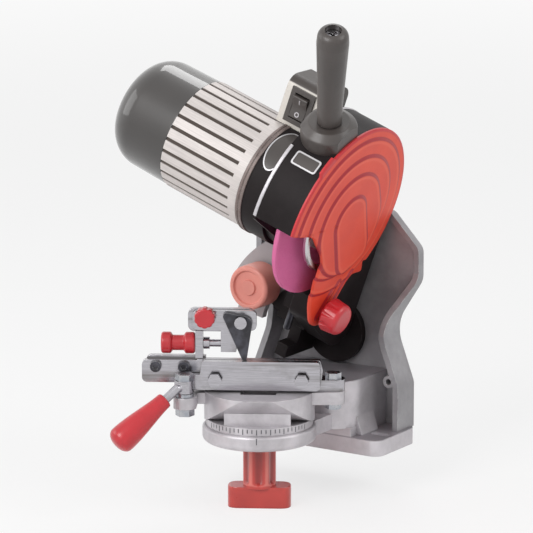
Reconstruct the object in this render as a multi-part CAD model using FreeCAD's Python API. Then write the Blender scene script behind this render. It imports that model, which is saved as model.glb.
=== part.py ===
import FreeCAD, Part
import math
import os
from FreeCAD import Vector

# Bench chain sharpener: a saw-chain grinder that bolts to the edge of a bench.
# Millimetres. +X is the operator's right, -Y faces the operator, +Z is up.
# Origin: the middle of the two bench slots, on the underside of the base.

# ---------------------------------------------------------------- main places
VISE_Y = -84.0            # turntable axis, in front of the bench slots
RAIL_Z = 85.0             # top of the chain rails, and height of the tilt axis
HEAD_LEAN = 20.0          # head tilt as it stands, about the Y axis
VISE_TURN = 30.0          # turntable angle as it stands
WHEEL_Y = -48.0           # grinding wheel centre with the head up
WHEEL_RISE = 125.5        # wheel centre above the tilt axis, before the lean
PIVOT_Y = 11.0            # swing pin of the head
PIVOT_RISE = 12.0         # swing pin above the tilt axis, before the lean

# ---------------------------------------------------------------- fits
RUN = 0.05                # radial clearance of a turning or sliding fit
LOOSE = 0.25              # radial clearance of a plain screw hole
GAP = 0.3                 # clearance between pieces that move past each other
COIL_STEPS = 16           # points on each turn of a coil spring
SCREW_R = 2.5             # M5 screws
HEAD_H = 4.0              # height of a screw head

# ---------------------------------------------------------------- base casting
FLANGE_HALF_W = 72.0
FLANGE_FRONT = -22.0
FLANGE_T = 13.0
FLANGE_CORNER = 9.0
BENCH_SLOT_X = 60.0       # slot centre, each side of the origin
BENCH_SLOT_LEN = 16.0
BENCH_SLOT_R = 4.25
LEDGE_HALF_W = 46.0
LEDGE_FRONT = -33.0
LEDGE_TOP = 58.0
LEDGE_CORNER = 26.0
LEDGE_WALL = 7.0
SKIRT_H = 15.0            # sloped foot of the ledge wall
SKIRT_OUT = 5.0
PAD_R = 45.0              # round seat of the turntable
PAD_BOTTOM = 19.5
PAD_TOP = 32.0
NECK_HALF_W = 33.0        # web from the ledge to the seat

# ---------------------------------------------------------------- column casting
COLUMN_BACK = 37.0
COLUMN_PLATE = 4.5
RIM_FRONT_LOW = 12.0      # front of the rim at the foot
RIM_FRONT_HIGH = 29.5     # front of the rim beside the flare
RIM_T = 5.0
RIM_BEND_LOW = 90.0
RIM_BEND_HIGH = 140.0
FOOT_HALF_W = 69.0
FOOT_TOP = 50.0
NECK_HALF = 52.0
NECK_Z = 95.0
FLARE_HALF = 77.0
FLARE_LOW = 134.0
FLARE_HIGH = 160.0
CROWN_HALF = 50.0
COLUMN_TOP = 188.0
COLUMN_SCREW_X = 34.0
COLUMN_SCREW_Z = (27.0, 46.0)
COLUMN_SCREW_LEN = 18.0
FOOT_HOLE_X = 60.0
FOOT_HOLE_Z = 53.0

# ---------------------------------------------------------------- head tilt
SPIGOT_R = 14.0
HUB_R = 26.0
HUB_T = 5.5
TILT_BOLT_R = 5.0
TILT_WASHER_R = 20.0
TILT_WASHER_T = 3.0
BARREL_R = 15.0
BARREL_LEFT = -36.0
BARREL_RIGHT = -9.0
WING_R_IN = 20.0
WING_R = 86.0
WING_BACK = -2.0
WING_T = 6.0
WING_FROM = 134.0         # degrees about the tilt axis, before the lean
WING_TO = 168.0
WING_TAIL_TO = 187.0
WING_TAIL_HALF = 12.0     # half width of the slotted band
LOCK_X = -44.3            # tilt lock stud, fixed in the column
LOCK_Z = 125.7
LOCK_STUD_R = 4.0
LOCK_BOSS_R = 9.5
TILT_SWING = 20.0         # tilt each way from the lean as it stands
LOCK_KNOB_R = 18.0
LOCK_KNOB_LEN = 25.0
SCALE_R_IN = 30.0
SCALE_R_OUT = 44.0
SCALE_T = 1.2
SCALE_FROM = 160.0
SCALE_TO = 213.0
POINTER_AT = 210.0        # degrees, before the lean
POINTER_SPREAD = 8.0

# ---------------------------------------------------------------- head swing
PIN_R = 6.0
BUSH_R = 8.0
BUSH_LEN = 7.0
ARM_LEFT = -8.5
ARM_RIGHT = 12.7
ARM_BACK = 26.0           # rear edge of the arm
SPRING_WIRE = 1.8
STOP_Y = -18.0            # depth stop screw
STOP_X = -19.0
STOP_R = 3.0
STOP_TIP_Z = 87.0
STOP_HEAD_Z = 124.0
STOP_HEAD_R = 6.5
STOP_HEAD_H = 9.0
SWING_DOWN = 31.0         # degrees from the head up to the head down
NOSE_LEFT = -24.0         # nose of the bracket that the stop screw meets
NOSE_RIGHT = -14.0
NOSE_FRONT = -15.0
NOSE_WEB_FRONT = -2.0
NOSE_BOTTOM = 61.0
SPRING_ROOM_R = 11.2      # recess in the barrel for the return spring

# ---------------------------------------------------------------- wheel and guard
WHEEL_R = 72.5
WHEEL_T = 4.5
WHEEL_BORE_R = 11.15
BLOTTER_R = 33.5
BLOTTER_T = 0.5
CLAMP_R = 24.0
CLAMP_T = 6.0
SHAFT_R = 6.0
WHEEL_ROOM = 1.3          # between a new wheel and the inside of its guard
GUARD_WALL = 2.4
GUARD_R = WHEEL_R + WHEEL_ROOM + GUARD_WALL
GUARD_LEFT = -23.0
GUARD_RIGHT = 13.0
GUARD_FROM = -52.0        # angle of the shell, from the rear, over the top
GUARD_TO = 182.0
COVER_T = 2.4
TAB_FROM = 130.0          # finger tab on the cover's rim, in degrees
TAB_TO = 142.0
COVER_RINGS = (68.0, 54.0, 40.5, 26.0)
COVER_STEP = 1.25
COVER_STUD_Y = 14.8       # from the wheel centre
COVER_STUD_Z = -10.6 - GUARD_R
# Corners of the openings for the wheel: (rearwards, up, fillet) from the wheel centre, the first
# two as shares of the guard's radius.
COVER_MOUTH = ((-0.617, -0.092, 6), (-0.262, -0.446, 10), (-0.249, -0.709, 8))
WALL_MOUTH = ((0.197, -0.735, 5), (-0.184, -0.525, 8))
COVER_STUD_R = 3.0
COVER_KNOB_R = 14.0
COVER_KNOB_LEN = 19.0

# ---------------------------------------------------------------- motor
PLATE_R = 44.0            # round plate of the arm, between guard and motor
PLATE_T = 8.0
BRIDGE_LOW = 133.0        # underside of the arm's bridge behind the guard
BRIDGE_Z = 160.0          # underside of the neck that carries the round plate
HUB_HOLE_R = 12.0
SCREW_RING_R = 38.0
FLANGE_FLOOR = 8.0
FLANGE_R = 47.0
FLANGE_LEN = 27.3
MOTOR_R = 46.4
MOTOR_LEN = 75.0
MOTOR_WALL = 4.0
RIBS = 28
RIB_GROOVE_R = 1.5
END_RING = 8.0
CAP_LEN = 60.0
CAP_R = 46.0
CAP_ROUND = 24.0
CAP_WALL = 2.6
ROTOR_R = 26.4
STACK_LEN = 42.0
BEARING_R = 16.0
BEARING_W = 10.0
CORE_BORE_R = 8.0
FAN_LEFT = -158.0
FAN_LEN = 12.0
WHEEL_NUT_END = 13.2

# ---------------------------------------------------------------- handle and switch
HANDLE_AT = 115.8         # degrees from the rear, over the top
HANDLE_X = -5.0
COLLAR_R = 22.0
COLLAR_TOP = GUARD_R + 13.8
GRIP_TOP = COLLAR_TOP + 92.5
GRIP_R_LOW = 9.6
GRIP_R_HIGH = 12.5
HANDLE_ROD_R = 4.0
BOX_X0 = -67.0
BOX_X1 = -33.0
BOX_Y = -35.0             # middle of the box, behind the motor's crown
BOX_HALF_W = 19.0
BOX_LOW = 30.0            # above the wheel centre
BOX_TOP = 86.0
BOX_WALL = 2.5
BOX_CORNER = 10.0
SWITCH_X = -50.0
SWITCH_HALF_X = 9.0
SWITCH_RISE = 65.0        # switch centre above the wheel centre
SWITCH_HALF_Z = 12.5
ROCKER_TIP = 8.0
ROCKER_PIN_R = 1.2
BEZEL = 2.0               # width of the switch's frame
BEZEL_T = 1.6
GLAND_R = 9.0
GLAND_BORE_R = 3.5

# ---------------------------------------------------------------- turntable and vise
TABLE_R = 42.0
TABLE_T = 6.0
TABLE_SPIGOT_R = 20.0
PAD_FLOOR = 6.0           # floor of the seat under the turntable's spigot
TROUGH_R = 49.0           # cradle radius about the rail line
CRADLE_TOP = 60.0
CRADLE_INSIDE_R = 41.0    # floor of the cradle's room, about the rail line
CRADLE_R = 43.5
TABLE_HALF_U = 26.0       # trough walls, along the rails
TROUGH_HALF_V = 32.0
TROUGH_TOP = 50.0
CRADLE_ROOM_V = 20.0      # room inside the cradle for the stud's head
STUD_HEAD_HALF = 9.0
STUD_HEAD_H = 7.0
STUD_BOTTOM = -22.0
KNOB_STEM_R = 13.0
KNOB_BAR_LEN = 50.0
KNOB_BAR_H = 17.0
KNOB_BAR_T = 20.0
KNOB_BOTTOM = -35.0
STUD_R = 5.0
TILT_TRAVEL = 10.0        # vise tilt each way
CHAIN_V = -8.0            # chain line, in front of the turntable axis
CHAIN_GAP = 1.6
JAW_T = 6.0
JAW_HALF_U = 48.0
JAW_OPEN = 1.6
EAR_U = 58.0
EAR_HALF_U = 9.0
EAR_T = 9.0
TAIL_U = 92.0             # left end of the rear jaw
GUIDE_U = 34.0
GUIDE_Z = 71.0
GUIDE_R = 3.0
FOOT_T = 6.0              # foot of the rear jaw
FOOT_BACK = 12.0
FOOT_SCREW_U = 26.0
FOOT_SCREW_V = 6.5
FOOT_SCREW_LEN = 16.0
SPRING_POCKET_R = 5.0
SPRING_POCKET = 4.5
TAIL_LOW = 66.0           # underside of the rear jaw's extension
JAW_LOW = 62.0
TAIL_FRONT_U = -66.0      # tail of the front jaw
TAIL_TOP = 74.0
LEVER_U = -57.0
LEVER_R = 9.0
LEVER_Z0 = 62.0
LEVER_H = 10.0
LEVER_BOLT_R = 3.0
LEVER_V = -24.1
CAM_OFFSET = 1.6          # the hub is a cam: its round is off the bolt by this much
CAM_AT = 120.0            # degrees
ROD_R = 3.5
GRIP_START = Vector(-71.5, -34.5, 59.0)
GRIP_END = Vector(-109.0, -54.5, 27.0)
GRIP_R_START = 6.5
GRIP_R_END = 11.0

# ---------------------------------------------------------------- chain stop
BRACKET_T = 5.0
BRACKET_SCREW_U = (-81.0, -59.0)
BRACKET_SCREW_Z = 79.3
PLATE_TOP = 86.5
RISER_U0 = -50.0
RISER_U1 = -44.0
RAIL_LOW = 106.0          # underside of the bracket's rail
RAIL_HIGH = 124.5
SLIDE_LOW = 108.0
SLIDE_FRONT = -6.2
SLIDE_BACK = -1.4
DROP_U0 = -30.0
DROP_U1 = -18.0
STOP_COLLAR_R = 4.8
STOP_SCREW_END = -12.0
STOP_SCREW_Z = 96.7
STOP_SCREW_V = -1.0
STOP_SCREW_R = 3.0
SLIDE_TRAVEL = 3.0
PAWL_U = -14.0
PAWL_Z = 116.0
PAWL_T = 4.0
PAWL_PIN_R = 2.5
PAWL_SPRING_ROOM = 3.5    # between the pawl and the head of its pin
PAWL_WIRE_R = 0.35
SPOOL_LEFT = -77.0
SPOOL_RIGHT = -50.3
SPOOL_R = 8.5
SPOOL_RIM = 7.5           # length of each rim of the spool
SPOOL_WAIST = 2.4         # depth of its waist
STOP_LOCK_U = -42.0
STOP_LOCK_Z = 119.7
STOP_LOCK_R = 8.2


# ---------------------------------------------------------------- worked out from the above
WHEEL_Z = RAIL_Z + WHEEL_RISE
PIVOT_Z = RAIL_Z + PIVOT_RISE
PANEL_FRONT = COLUMN_BACK - COLUMN_PLATE
HUB_BACK = PANEL_FRONT - GAP
HUB_FRONT = HUB_BACK - HUB_T
WING_FRONT = WING_BACK - WING_T
SCALE_CLEAR = PANEL_FRONT - SCALE_T - GAP
LOCK_ARC_R = math.hypot(LOCK_X, LOCK_Z - RAIL_Z)
LOCK_ANGLE = math.degrees(math.atan2(LOCK_Z - RAIL_Z, LOCK_X)) + HEAD_LEAN
LOCK_SLOT_R = LOCK_STUD_R + LOOSE
PLATE_LEFT = GUARD_LEFT - PLATE_T
FLANGE_LEFT = PLATE_LEFT - FLANGE_LEN
HOUSING_LEFT = FLANGE_LEFT - MOTOR_LEN
STACK_RIGHT = FLANGE_LEFT - 11
STACK_LEFT = STACK_RIGHT - STACK_LEN
SWITCH_Z = WHEEL_Z + SWITCH_RISE
SWITCH_FACE = BOX_Y - BOX_HALF_W
REAR_FRONT = CHAIN_V + CHAIN_GAP / 2
REAR_BACK = REAR_FRONT + JAW_T
BRACKET_BACK = REAR_BACK + BRACKET_T
JAW_BACK = CHAIN_V - CHAIN_GAP / 2
JAW_FRONT = JAW_BACK - JAW_T
PAWL_BACK = CHAIN_V + 1.6
PAWL_FRONT = PAWL_BACK - PAWL_T
EAR_LOW = CRADLE_TOP - 1 - EAR_T


# ================================================================= shape helpers
def box(x0, x1, y0, y1, z0, z1):
    """Block between two corners."""
    return Part.makeBox(x1 - x0, y1 - y0, z1 - z0, Vector(x0, y0, z0))


def rod_x(radius, x0, x1, y, z):
    """Round bar along X."""
    return Part.makeCylinder(radius, x1 - x0, Vector(x0, y, z), Vector(1, 0, 0))


def rod_y(radius, y0, y1, x, z):
    """Round bar along Y."""
    return Part.makeCylinder(radius, y1 - y0, Vector(x, y0, z), Vector(0, 1, 0))


def rod_z(radius, z0, z1, x, y):
    """Round bar along Z."""
    return Part.makeCylinder(radius, z1 - z0, Vector(x, y, z0), Vector(0, 0, 1))


def rod_between(radius, start, end):
    """Round bar from one point to another."""
    along = end.sub(start)
    return Part.makeCylinder(radius, along.Length, start, along)


PLANES = {
    "xy": (lambda p, q, lo: Vector(p, q, lo), Vector(0, 0, 1)),
    "xz": (lambda p, q, lo: Vector(p, lo, q), Vector(0, 1, 0)),
    "yz": (lambda p, q, lo: Vector(lo, p, q), Vector(1, 0, 0)),
}


def outline(corners, place):
    """Closed wire through (p, q, radius) corners, each rounded by its radius."""
    count = len(corners)
    starts = []
    ends = []
    mids = []
    for index, (p, q, radius) in enumerate(corners):
        here = Vector(p, q, 0)
        before = Vector(corners[index - 1][0], corners[index - 1][1], 0)
        after = Vector(corners[(index + 1) % count][0], corners[(index + 1) % count][1], 0)
        to_before = before.sub(here).normalize()
        to_after = after.sub(here).normalize()
        half = to_before.getAngle(to_after) / 2
        if radius == 0 or abs(half - math.pi / 2) < 1e-6:
            starts.append(here)
            ends.append(here)
            mids.append(None)
            continue
        back = radius / math.tan(half)
        starts.append(here.add(to_before.multiply(back)))
        ends.append(here.add(to_after.multiply(back)))
        chord = starts[-1].add(ends[-1]).multiply(0.5)
        inward = chord.sub(here)
        centre_far = radius / math.sin(half)
        mids.append(here.add(inward.normalize().multiply(centre_far - radius)))
    edges = []
    for index in range(count):
        if mids[index] is not None:
            arc = Part.Arc(place(starts[index]), place(mids[index]), place(ends[index]))
            edges.append(arc.toShape())
        here = ends[index]
        there = starts[(index + 1) % count]
        if here.sub(there).Length > 1e-6:
            edges.append(Part.LineSegment(place(here), place(there)).toShape())
    return Part.Wire(edges)


def slab(corners, plane, lo, hi):
    """Plate with a rounded outline, from lo to hi across its plane."""
    to_space, normal = PLANES[plane]
    wire = outline(corners, lambda point: to_space(point.x, point.y, lo))
    return Part.Face(wire).extrude(normal * (hi - lo))


def square_off(half_x, half_y, corner, x=0.0, y=0.0):
    """Corners of a rounded rectangle."""
    return [(x - half_x, y - half_y, corner), (x + half_x, y - half_y, corner),
            (x + half_x, y + half_y, corner), (x - half_x, y + half_y, corner)]


def turned(profile, centre, axis):
    """Solid of revolution of (along, radius, rounding) corners about an axis through centre."""
    wire = outline(profile, lambda point: Vector(point.y, 0, point.x))
    solid = Part.Face(wire).revolve(Vector(0, 0, 0), Vector(0, 0, 1), 360)
    turn = FreeCAD.Rotation(Vector(0, 0, 1), axis)
    solid.Placement = FreeCAD.Placement(centre, turn)
    return solid


def wedge(radius_in, radius_out, start, stop, lo, hi, plane, centre):
    """Sector of a ring, from start to stop degrees in its plane."""
    to_space, normal = PLANES[plane]

    def at(radius, degrees):
        angle = math.radians(degrees)
        return to_space(centre[0] + radius * math.cos(angle), centre[1] + radius * math.sin(angle), lo)

    middle = (start + stop) / 2
    outer = Part.Arc(at(radius_out, start), at(radius_out, middle), at(radius_out, stop)).toShape()
    inner = Part.Arc(at(radius_in, stop), at(radius_in, middle), at(radius_in, start)).toShape()
    side_a = Part.LineSegment(at(radius_out, stop), at(radius_in, stop)).toShape()
    side_b = Part.LineSegment(at(radius_in, start), at(radius_out, start)).toShape()
    face = Part.Face(Part.Wire([outer, side_a, inner, side_b]))
    return face.extrude(normal * (hi - lo))


def fused(shapes):
    """One solid from overlapping shapes."""
    return shapes[0].fuse(shapes[1:]).removeSplitter()


def hexagon(across_flats, lo, hi, axis_point, axis):
    """Hexagonal bar from lo to hi along an axis."""
    corner = across_flats / math.sqrt(3)
    points = [Vector(corner * math.cos(math.radians(60 * step)),
                     corner * math.sin(math.radians(60 * step)), lo) for step in range(7)]
    solid = Part.Face(Part.makePolygon(points)).extrude(Vector(0, 0, hi - lo))
    solid.Placement = FreeCAD.Placement(axis_point, FreeCAD.Rotation(Vector(0, 0, 1), axis))
    return solid


def cap_screw(radius, length, seat, into):
    """Screw with a round head above its seat; the shank runs into the work."""
    back = into * -1
    head = Part.makeCylinder(radius * 1.75, HEAD_H, seat, back)
    shank = Part.makeCylinder(radius, length, seat, into)
    socket = hexagon(radius * 1.7, HEAD_H * 0.5, HEAD_H + 1, seat, back)
    return head.fuse(shank).removeSplitter().cut(socket)


def fluted(shape, count, ring_r, flute_r, centre, axis, length, phase=0.0):
    """Grip flutes cut along the side of a knob."""
    turn = FreeCAD.Rotation(Vector(0, 0, 1), axis)
    cuts = []
    for step in range(count):
        angle = math.radians(phase + 360 * step / count)
        spot = Vector(ring_r * math.cos(angle), ring_r * math.sin(angle), -1)
        cuts.append(Part.makeCylinder(flute_r, length + 2, centre.add(turn.multVec(spot)), axis))
    return shape.cut(cuts)


def coil(radius, wire_r, pitch, length, start, axis):
    """Helical spring that begins at start and runs along axis."""
    steps = round(COIL_STEPS * length / pitch)
    spots = []
    for step in range(steps + 1):
        angle = 2 * math.pi * step / COIL_STEPS
        spots.append(Vector(radius * math.cos(angle), radius * math.sin(angle), length * step / steps))
    curve = Part.BSplineCurve()
    curve.interpolate(spots)
    path = curve.toShape()
    circle = Part.Circle(spots[0], path.tangentAt(path.FirstParameter), wire_r).toShape()
    sweep = Part.BRepOffsetAPI.MakePipeShell(Part.Wire([path]))
    sweep.setBiNormalMode(Vector(0, 0, 1))
    sweep.add(Part.Wire([circle]))
    sweep.build()
    sweep.makeSolid()
    solid = sweep.shape()
    solid.Placement = FreeCAD.Placement(start, FreeCAD.Rotation(Vector(0, 0, 1), axis))
    return solid


# ================================================================= local frames
LEAN_AXIS = Vector(0, 0, RAIL_Z)
X_AXIS = Vector(1, 0, 0)
Y_AXIS = Vector(0, 1, 0)
Z_AXIS = Vector(0, 0, 1)


def lean(shape):
    """Tilt a head piece from upright to its angle as it stands."""
    moved = shape.copy()
    moved.rotate(LEAN_AXIS, Y_AXIS, HEAD_LEAN)
    return moved


def swivel(shape):
    """Take a vise piece from its own frame, rails along X, to its place."""
    moved = shape.copy()
    moved.translate(Vector(0, VISE_Y, 0))
    moved.rotate(Vector(0, VISE_Y, 0), Z_AXIS, VISE_TURN)
    return moved


def radial(degrees, radius, x=0.0):
    """Point about the wheel axis; 0 is the rear, 90 the top, 180 the front."""
    angle = math.radians(degrees)
    return Vector(x, WHEEL_Y + radius * math.cos(angle), WHEEL_Z + radius * math.sin(angle))


# ================================================================= base and column

def base_casting():
    """Flange for the bench, hollow ledge, and the round seat of the turntable."""
    flange_y = (FLANGE_FRONT + COLUMN_BACK) / 2
    flange_half_y = (COLUMN_BACK - FLANGE_FRONT) / 2
    flange = slab(square_off(FLANGE_HALF_W, flange_half_y, FLANGE_CORNER, 0, flange_y), "xy", 0, FLANGE_T)
    ledge_plan = [(-LEDGE_HALF_W, PANEL_FRONT, 0), (-LEDGE_HALF_W, LEDGE_FRONT, LEDGE_CORNER),
                  (LEDGE_HALF_W, LEDGE_FRONT, LEDGE_CORNER), (LEDGE_HALF_W, PANEL_FRONT, 0)]
    ledge = slab(ledge_plan, "xy", PAD_BOTTOM, LEDGE_TOP)
    foot = box(-LEDGE_HALF_W, LEDGE_HALF_W, FLANGE_FRONT, PANEL_FRONT, 0, PAD_BOTTOM + 1)
    skirt_half = LEDGE_HALF_W + SKIRT_OUT
    skirt = slab([(-skirt_half, FLANGE_T, 0), (skirt_half, FLANGE_T, 0),
                  (LEDGE_HALF_W, FLANGE_T + SKIRT_H, 0), (-LEDGE_HALF_W, FLANGE_T + SKIRT_H, 0)],
                 "xz", FLANGE_FRONT + FLANGE_CORNER, RIM_FRONT_LOW)
    pad = turned([(PAD_BOTTOM, 0, 0), (PAD_BOTTOM, PAD_R, 4), (PAD_TOP, PAD_R, 2.5), (PAD_TOP, 0, 0)],
                 Vector(0, VISE_Y, 0), Z_AXIS)
    neck = box(-NECK_HALF_W, NECK_HALF_W, VISE_Y, FLANGE_FRONT, PAD_BOTTOM, PAD_TOP)
    body = fused([flange, ledge, foot, skirt, pad, neck])
    front_hollow = box(LEDGE_CORNER - LEDGE_HALF_W, LEDGE_HALF_W - LEDGE_CORNER, LEDGE_FRONT + LEDGE_WALL,
                       FLANGE_FRONT + LEDGE_WALL + 1, PAD_TOP, LEDGE_TOP - LEDGE_WALL)
    hollow = box(-LEDGE_HALF_W + LEDGE_WALL, LEDGE_HALF_W - LEDGE_WALL,
                 FLANGE_FRONT + LEDGE_WALL, PANEL_FRONT - 2 * LEDGE_WALL, -1, LEDGE_TOP - LEDGE_WALL)
    spigot_bore = rod_z(TABLE_SPIGOT_R + RUN, PAD_BOTTOM + PAD_FLOOR, PAD_TOP + 1, 0, VISE_Y)
    stud_bore = rod_z(STUD_R + LOOSE, PAD_BOTTOM - 1, PAD_TOP, 0, VISE_Y)
    cuts = [hollow, front_hollow, spigot_bore, stud_bore]
    for side in (-1, 1):
        cuts.append(slot_z(side * BENCH_SLOT_X, 0, BENCH_SLOT_LEN, BENCH_SLOT_R, -1, FLANGE_T + 1))
        for z in COLUMN_SCREW_Z:
            cuts.append(rod_y(SCREW_R, COLUMN_BACK - COLUMN_SCREW_LEN, COLUMN_BACK,
                              side * COLUMN_SCREW_X, z))
    return body.cut(cuts)


def slot_z(x, y, length, half_width, z0, z1):
    """Round-ended slot along X, cut from z0 to z1."""
    reach = length / 2 - half_width
    middle = box(x - reach, x + reach, y - half_width, y + half_width, z0, z1)
    ends = [rod_z(half_width, z0, z1, x - reach, y), rod_z(half_width, z0, z1, x + reach, y)]
    return middle.fuse(ends)


def column_outline():
    """Hourglass front outline of the column."""
    right = [(FOOT_HALF_W, FLANGE_T, 0), (FOOT_HALF_W, FOOT_TOP, 14), (NECK_HALF, NECK_Z, 30),
             (FLARE_HALF, FLARE_LOW, 16), (FLARE_HALF, FLARE_HIGH, 10), (CROWN_HALF, COLUMN_TOP, 8)]
    left = [(-x, z, rounding) for x, z, rounding in reversed(right)]
    return right + left


def column_casting():
    """Upright tray: a back plate with a rim that is deep at the foot and shallow at the flare."""
    body = slab(column_outline(), "xz", RIM_FRONT_LOW, COLUMN_BACK)
    front = outline(column_outline(), lambda point: Vector(point.x, RIM_FRONT_LOW - 1, point.y))
    pocket_face = Part.Face(front).makeOffset2D(-RIM_T)
    pocket = pocket_face.extrude(Vector(0, PANEL_FRONT - RIM_FRONT_LOW + 1, 0))
    taper = slab([(RIM_FRONT_LOW - 2, RIM_BEND_LOW, 0), (RIM_FRONT_LOW, RIM_BEND_LOW, 0),
                  (RIM_FRONT_HIGH, RIM_BEND_HIGH, 0), (RIM_FRONT_HIGH, COLUMN_TOP + 2, 0),
                  (RIM_FRONT_LOW - 2, COLUMN_TOP + 2, 0)], "yz", -FLARE_HALF - 1, FLARE_HALF + 1)
    skirt_room = box(-FOOT_HALF_W + RIM_T, FOOT_HALF_W - RIM_T, RIM_FRONT_LOW - 1, PANEL_FRONT,
                     FLANGE_T, FLANGE_T + RIM_T)
    body = body.cut([pocket, taper, skirt_room])
    lock_boss = rod_y(LOCK_BOSS_R, WING_BACK + GAP, PANEL_FRONT + 1, LOCK_X, LOCK_Z)
    foot_boss = rod_y(RIM_T, RIM_FRONT_LOW, PANEL_FRONT + 1, FOOT_HOLE_X, FOOT_HOLE_Z)
    body = fused([body, lock_boss, foot_boss])
    cuts = [rod_y(SPIGOT_R + RUN, PANEL_FRONT - 1, COLUMN_BACK + 1, 0, RAIL_Z),
            rod_y(LOCK_STUD_R, WING_BACK, COLUMN_BACK + 1, LOCK_X, LOCK_Z),
            rod_y(SCREW_R, RIM_FRONT_LOW - 1, PANEL_FRONT, FOOT_HOLE_X, FOOT_HOLE_Z)]
    for side in (-1, 1):
        for z in COLUMN_SCREW_Z:
            cuts.append(rod_y(SCREW_R + LOOSE, PANEL_FRONT - 1, COLUMN_BACK + 1,
                              side * COLUMN_SCREW_X, z))
    return body.cut(cuts)


def column_screws():
    """Four screws that hold the column to the ledge."""
    screws = []
    for side in (-1, 1):
        for z in COLUMN_SCREW_Z:
            seat = Vector(side * COLUMN_SCREW_X, COLUMN_BACK, z)
            screws.append(cap_screw(SCREW_R, COLUMN_SCREW_LEN, seat, Y_AXIS * -1))
    return Part.makeCompound(screws)


def tilt_scale_plate():
    """Thin degree plate on the column, beside the tilt hub."""
    return wedge(SCALE_R_IN, SCALE_R_OUT, SCALE_FROM, SCALE_TO,
                 PANEL_FRONT - SCALE_T, PANEL_FRONT, "xz", (0, RAIL_Z))


def tilt_lock_stud():
    """Stud through the column boss, with its head behind the column."""
    shank = rod_y(LOCK_STUD_R, WING_FRONT - LOCK_KNOB_LEN + 6, COLUMN_BACK, LOCK_X, LOCK_Z)
    head = hexagon(2 * LOCK_STUD_R + 5, 0, HEAD_H + 1, Vector(LOCK_X, COLUMN_BACK, LOCK_Z), Y_AXIS)
    return fused([shank, head])


def tilt_lock_knob():
    """Large round knob that clamps the slotted wing."""
    seat = WING_FRONT - GAP
    deep = LOCK_KNOB_LEN
    body = turned([(0, 0, 0), (0, LOCK_KNOB_R - 4, 1), (4, LOCK_KNOB_R, 2), (deep, LOCK_KNOB_R, 2.5),
                   (deep, LOCK_KNOB_R - 4, 0.5), (deep - 2, LOCK_KNOB_R - 5, 0.5),
                   (deep - 2, 6.5, 0.5), (deep - 0.5, 6, 0.3), (deep - 0.5, 0, 0)],
                  Vector(LOCK_X, seat, LOCK_Z), Y_AXIS * -1)
    bore = rod_y(LOCK_STUD_R + RUN, seat - deep + 4.5, seat + 1, LOCK_X, LOCK_Z)
    return body.cut(bore)


# ================================================================= tilt bracket
def polar(degrees, radius):
    """Outline corner at an angle and a radius about the tilt axis."""
    angle = math.radians(degrees)
    return (radius * math.cos(angle), RAIL_Z + radius * math.sin(angle), 0)


def nose_top():
    """Height at which the lower corner of the stop screw's tip ends its swing."""
    down = math.radians(SWING_DOWN)
    y = STOP_Y - STOP_R - PIVOT_Y
    z = STOP_TIP_Z - PIVOT_Z
    return PIVOT_Z + y * math.sin(down) + z * math.cos(down) - RUN


def tilt_bracket():
    """Hub and spigot on the column, slotted wing, and the barrel of the swing pin."""
    hub = rod_y(HUB_R, HUB_FRONT, HUB_BACK, 0, RAIL_Z)
    spigot = rod_y(SPIGOT_R, HUB_BACK - 1, COLUMN_BACK - GAP / 2, 0, RAIL_Z)
    barrel = rod_x(BARREL_R, BARREL_LEFT, BARREL_RIGHT, PIVOT_Y, PIVOT_Z)
    block = box(BARREL_LEFT, BARREL_RIGHT, PIVOT_Y, SCALE_CLEAR, PIVOT_Z - BARREL_R, PIVOT_Z + BARREL_R)
    web = box(BARREL_LEFT, BARREL_RIGHT, WING_FRONT, PIVOT_Y, PIVOT_Z - 9, PIVOT_Z + 9)
    centre = (0, RAIL_Z)
    wing = wedge(WING_R_IN, WING_R, WING_FROM, WING_TO, WING_FRONT, WING_BACK, "xz", centre)
    band = wedge(LOCK_ARC_R - WING_TAIL_HALF, LOCK_ARC_R + WING_TAIL_HALF, WING_TO - 1, WING_TAIL_TO,
                 WING_FRONT, WING_BACK, "xz", centre)
    nose_web = box(NOSE_LEFT, NOSE_RIGHT, NOSE_WEB_FRONT, HUB_FRONT + 1, NOSE_BOTTOM, PIVOT_Z - 5)
    nose = box(NOSE_LEFT, NOSE_RIGHT, NOSE_FRONT, NOSE_WEB_FRONT + 2, NOSE_BOTTOM, nose_top())
    arrow = slab([polar(POINTER_AT - POINTER_SPREAD, HUB_R - 2), polar(POINTER_AT, SCALE_R_IN + 4),
                  polar(POINTER_AT + POINTER_SPREAD, HUB_R - 2)], "xz", HUB_FRONT + 1, SCALE_CLEAR)
    body = fused([hub, spigot, barrel, block, web, wing, band, nose_web, nose, arrow])
    slot = wedge(LOCK_ARC_R - LOCK_SLOT_R, LOCK_ARC_R + LOCK_SLOT_R, LOCK_ANGLE - TILT_SWING,
                 LOCK_ANGLE + TILT_SWING, WING_FRONT - 1, WING_BACK + 1, "xz", centre)
    cuts = [slot,
            rod_x(PIN_R + RUN, BARREL_LEFT - 1, BARREL_RIGHT + 1, PIVOT_Y, PIVOT_Z),
            rod_x(BUSH_R, BARREL_LEFT - 1, BARREL_LEFT + 2 * BUSH_LEN + 1, PIVOT_Y, PIVOT_Z),
            rod_x(SPRING_ROOM_R, BARREL_LEFT + 2 * BUSH_LEN + 1, BARREL_RIGHT + 1, PIVOT_Y, PIVOT_Z),
            rod_y(TILT_BOLT_R, HUB_FRONT + 1, COLUMN_BACK, 0, RAIL_Z)]
    for side in (-1, 1):
        angle = math.radians(LOCK_ANGLE + side * TILT_SWING)
        cuts.append(rod_y(LOCK_SLOT_R, WING_FRONT - 1, WING_BACK + 1, LOCK_ARC_R * math.cos(angle),
                          RAIL_Z + LOCK_ARC_R * math.sin(angle)))
    return lean(body.cut(cuts))


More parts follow.
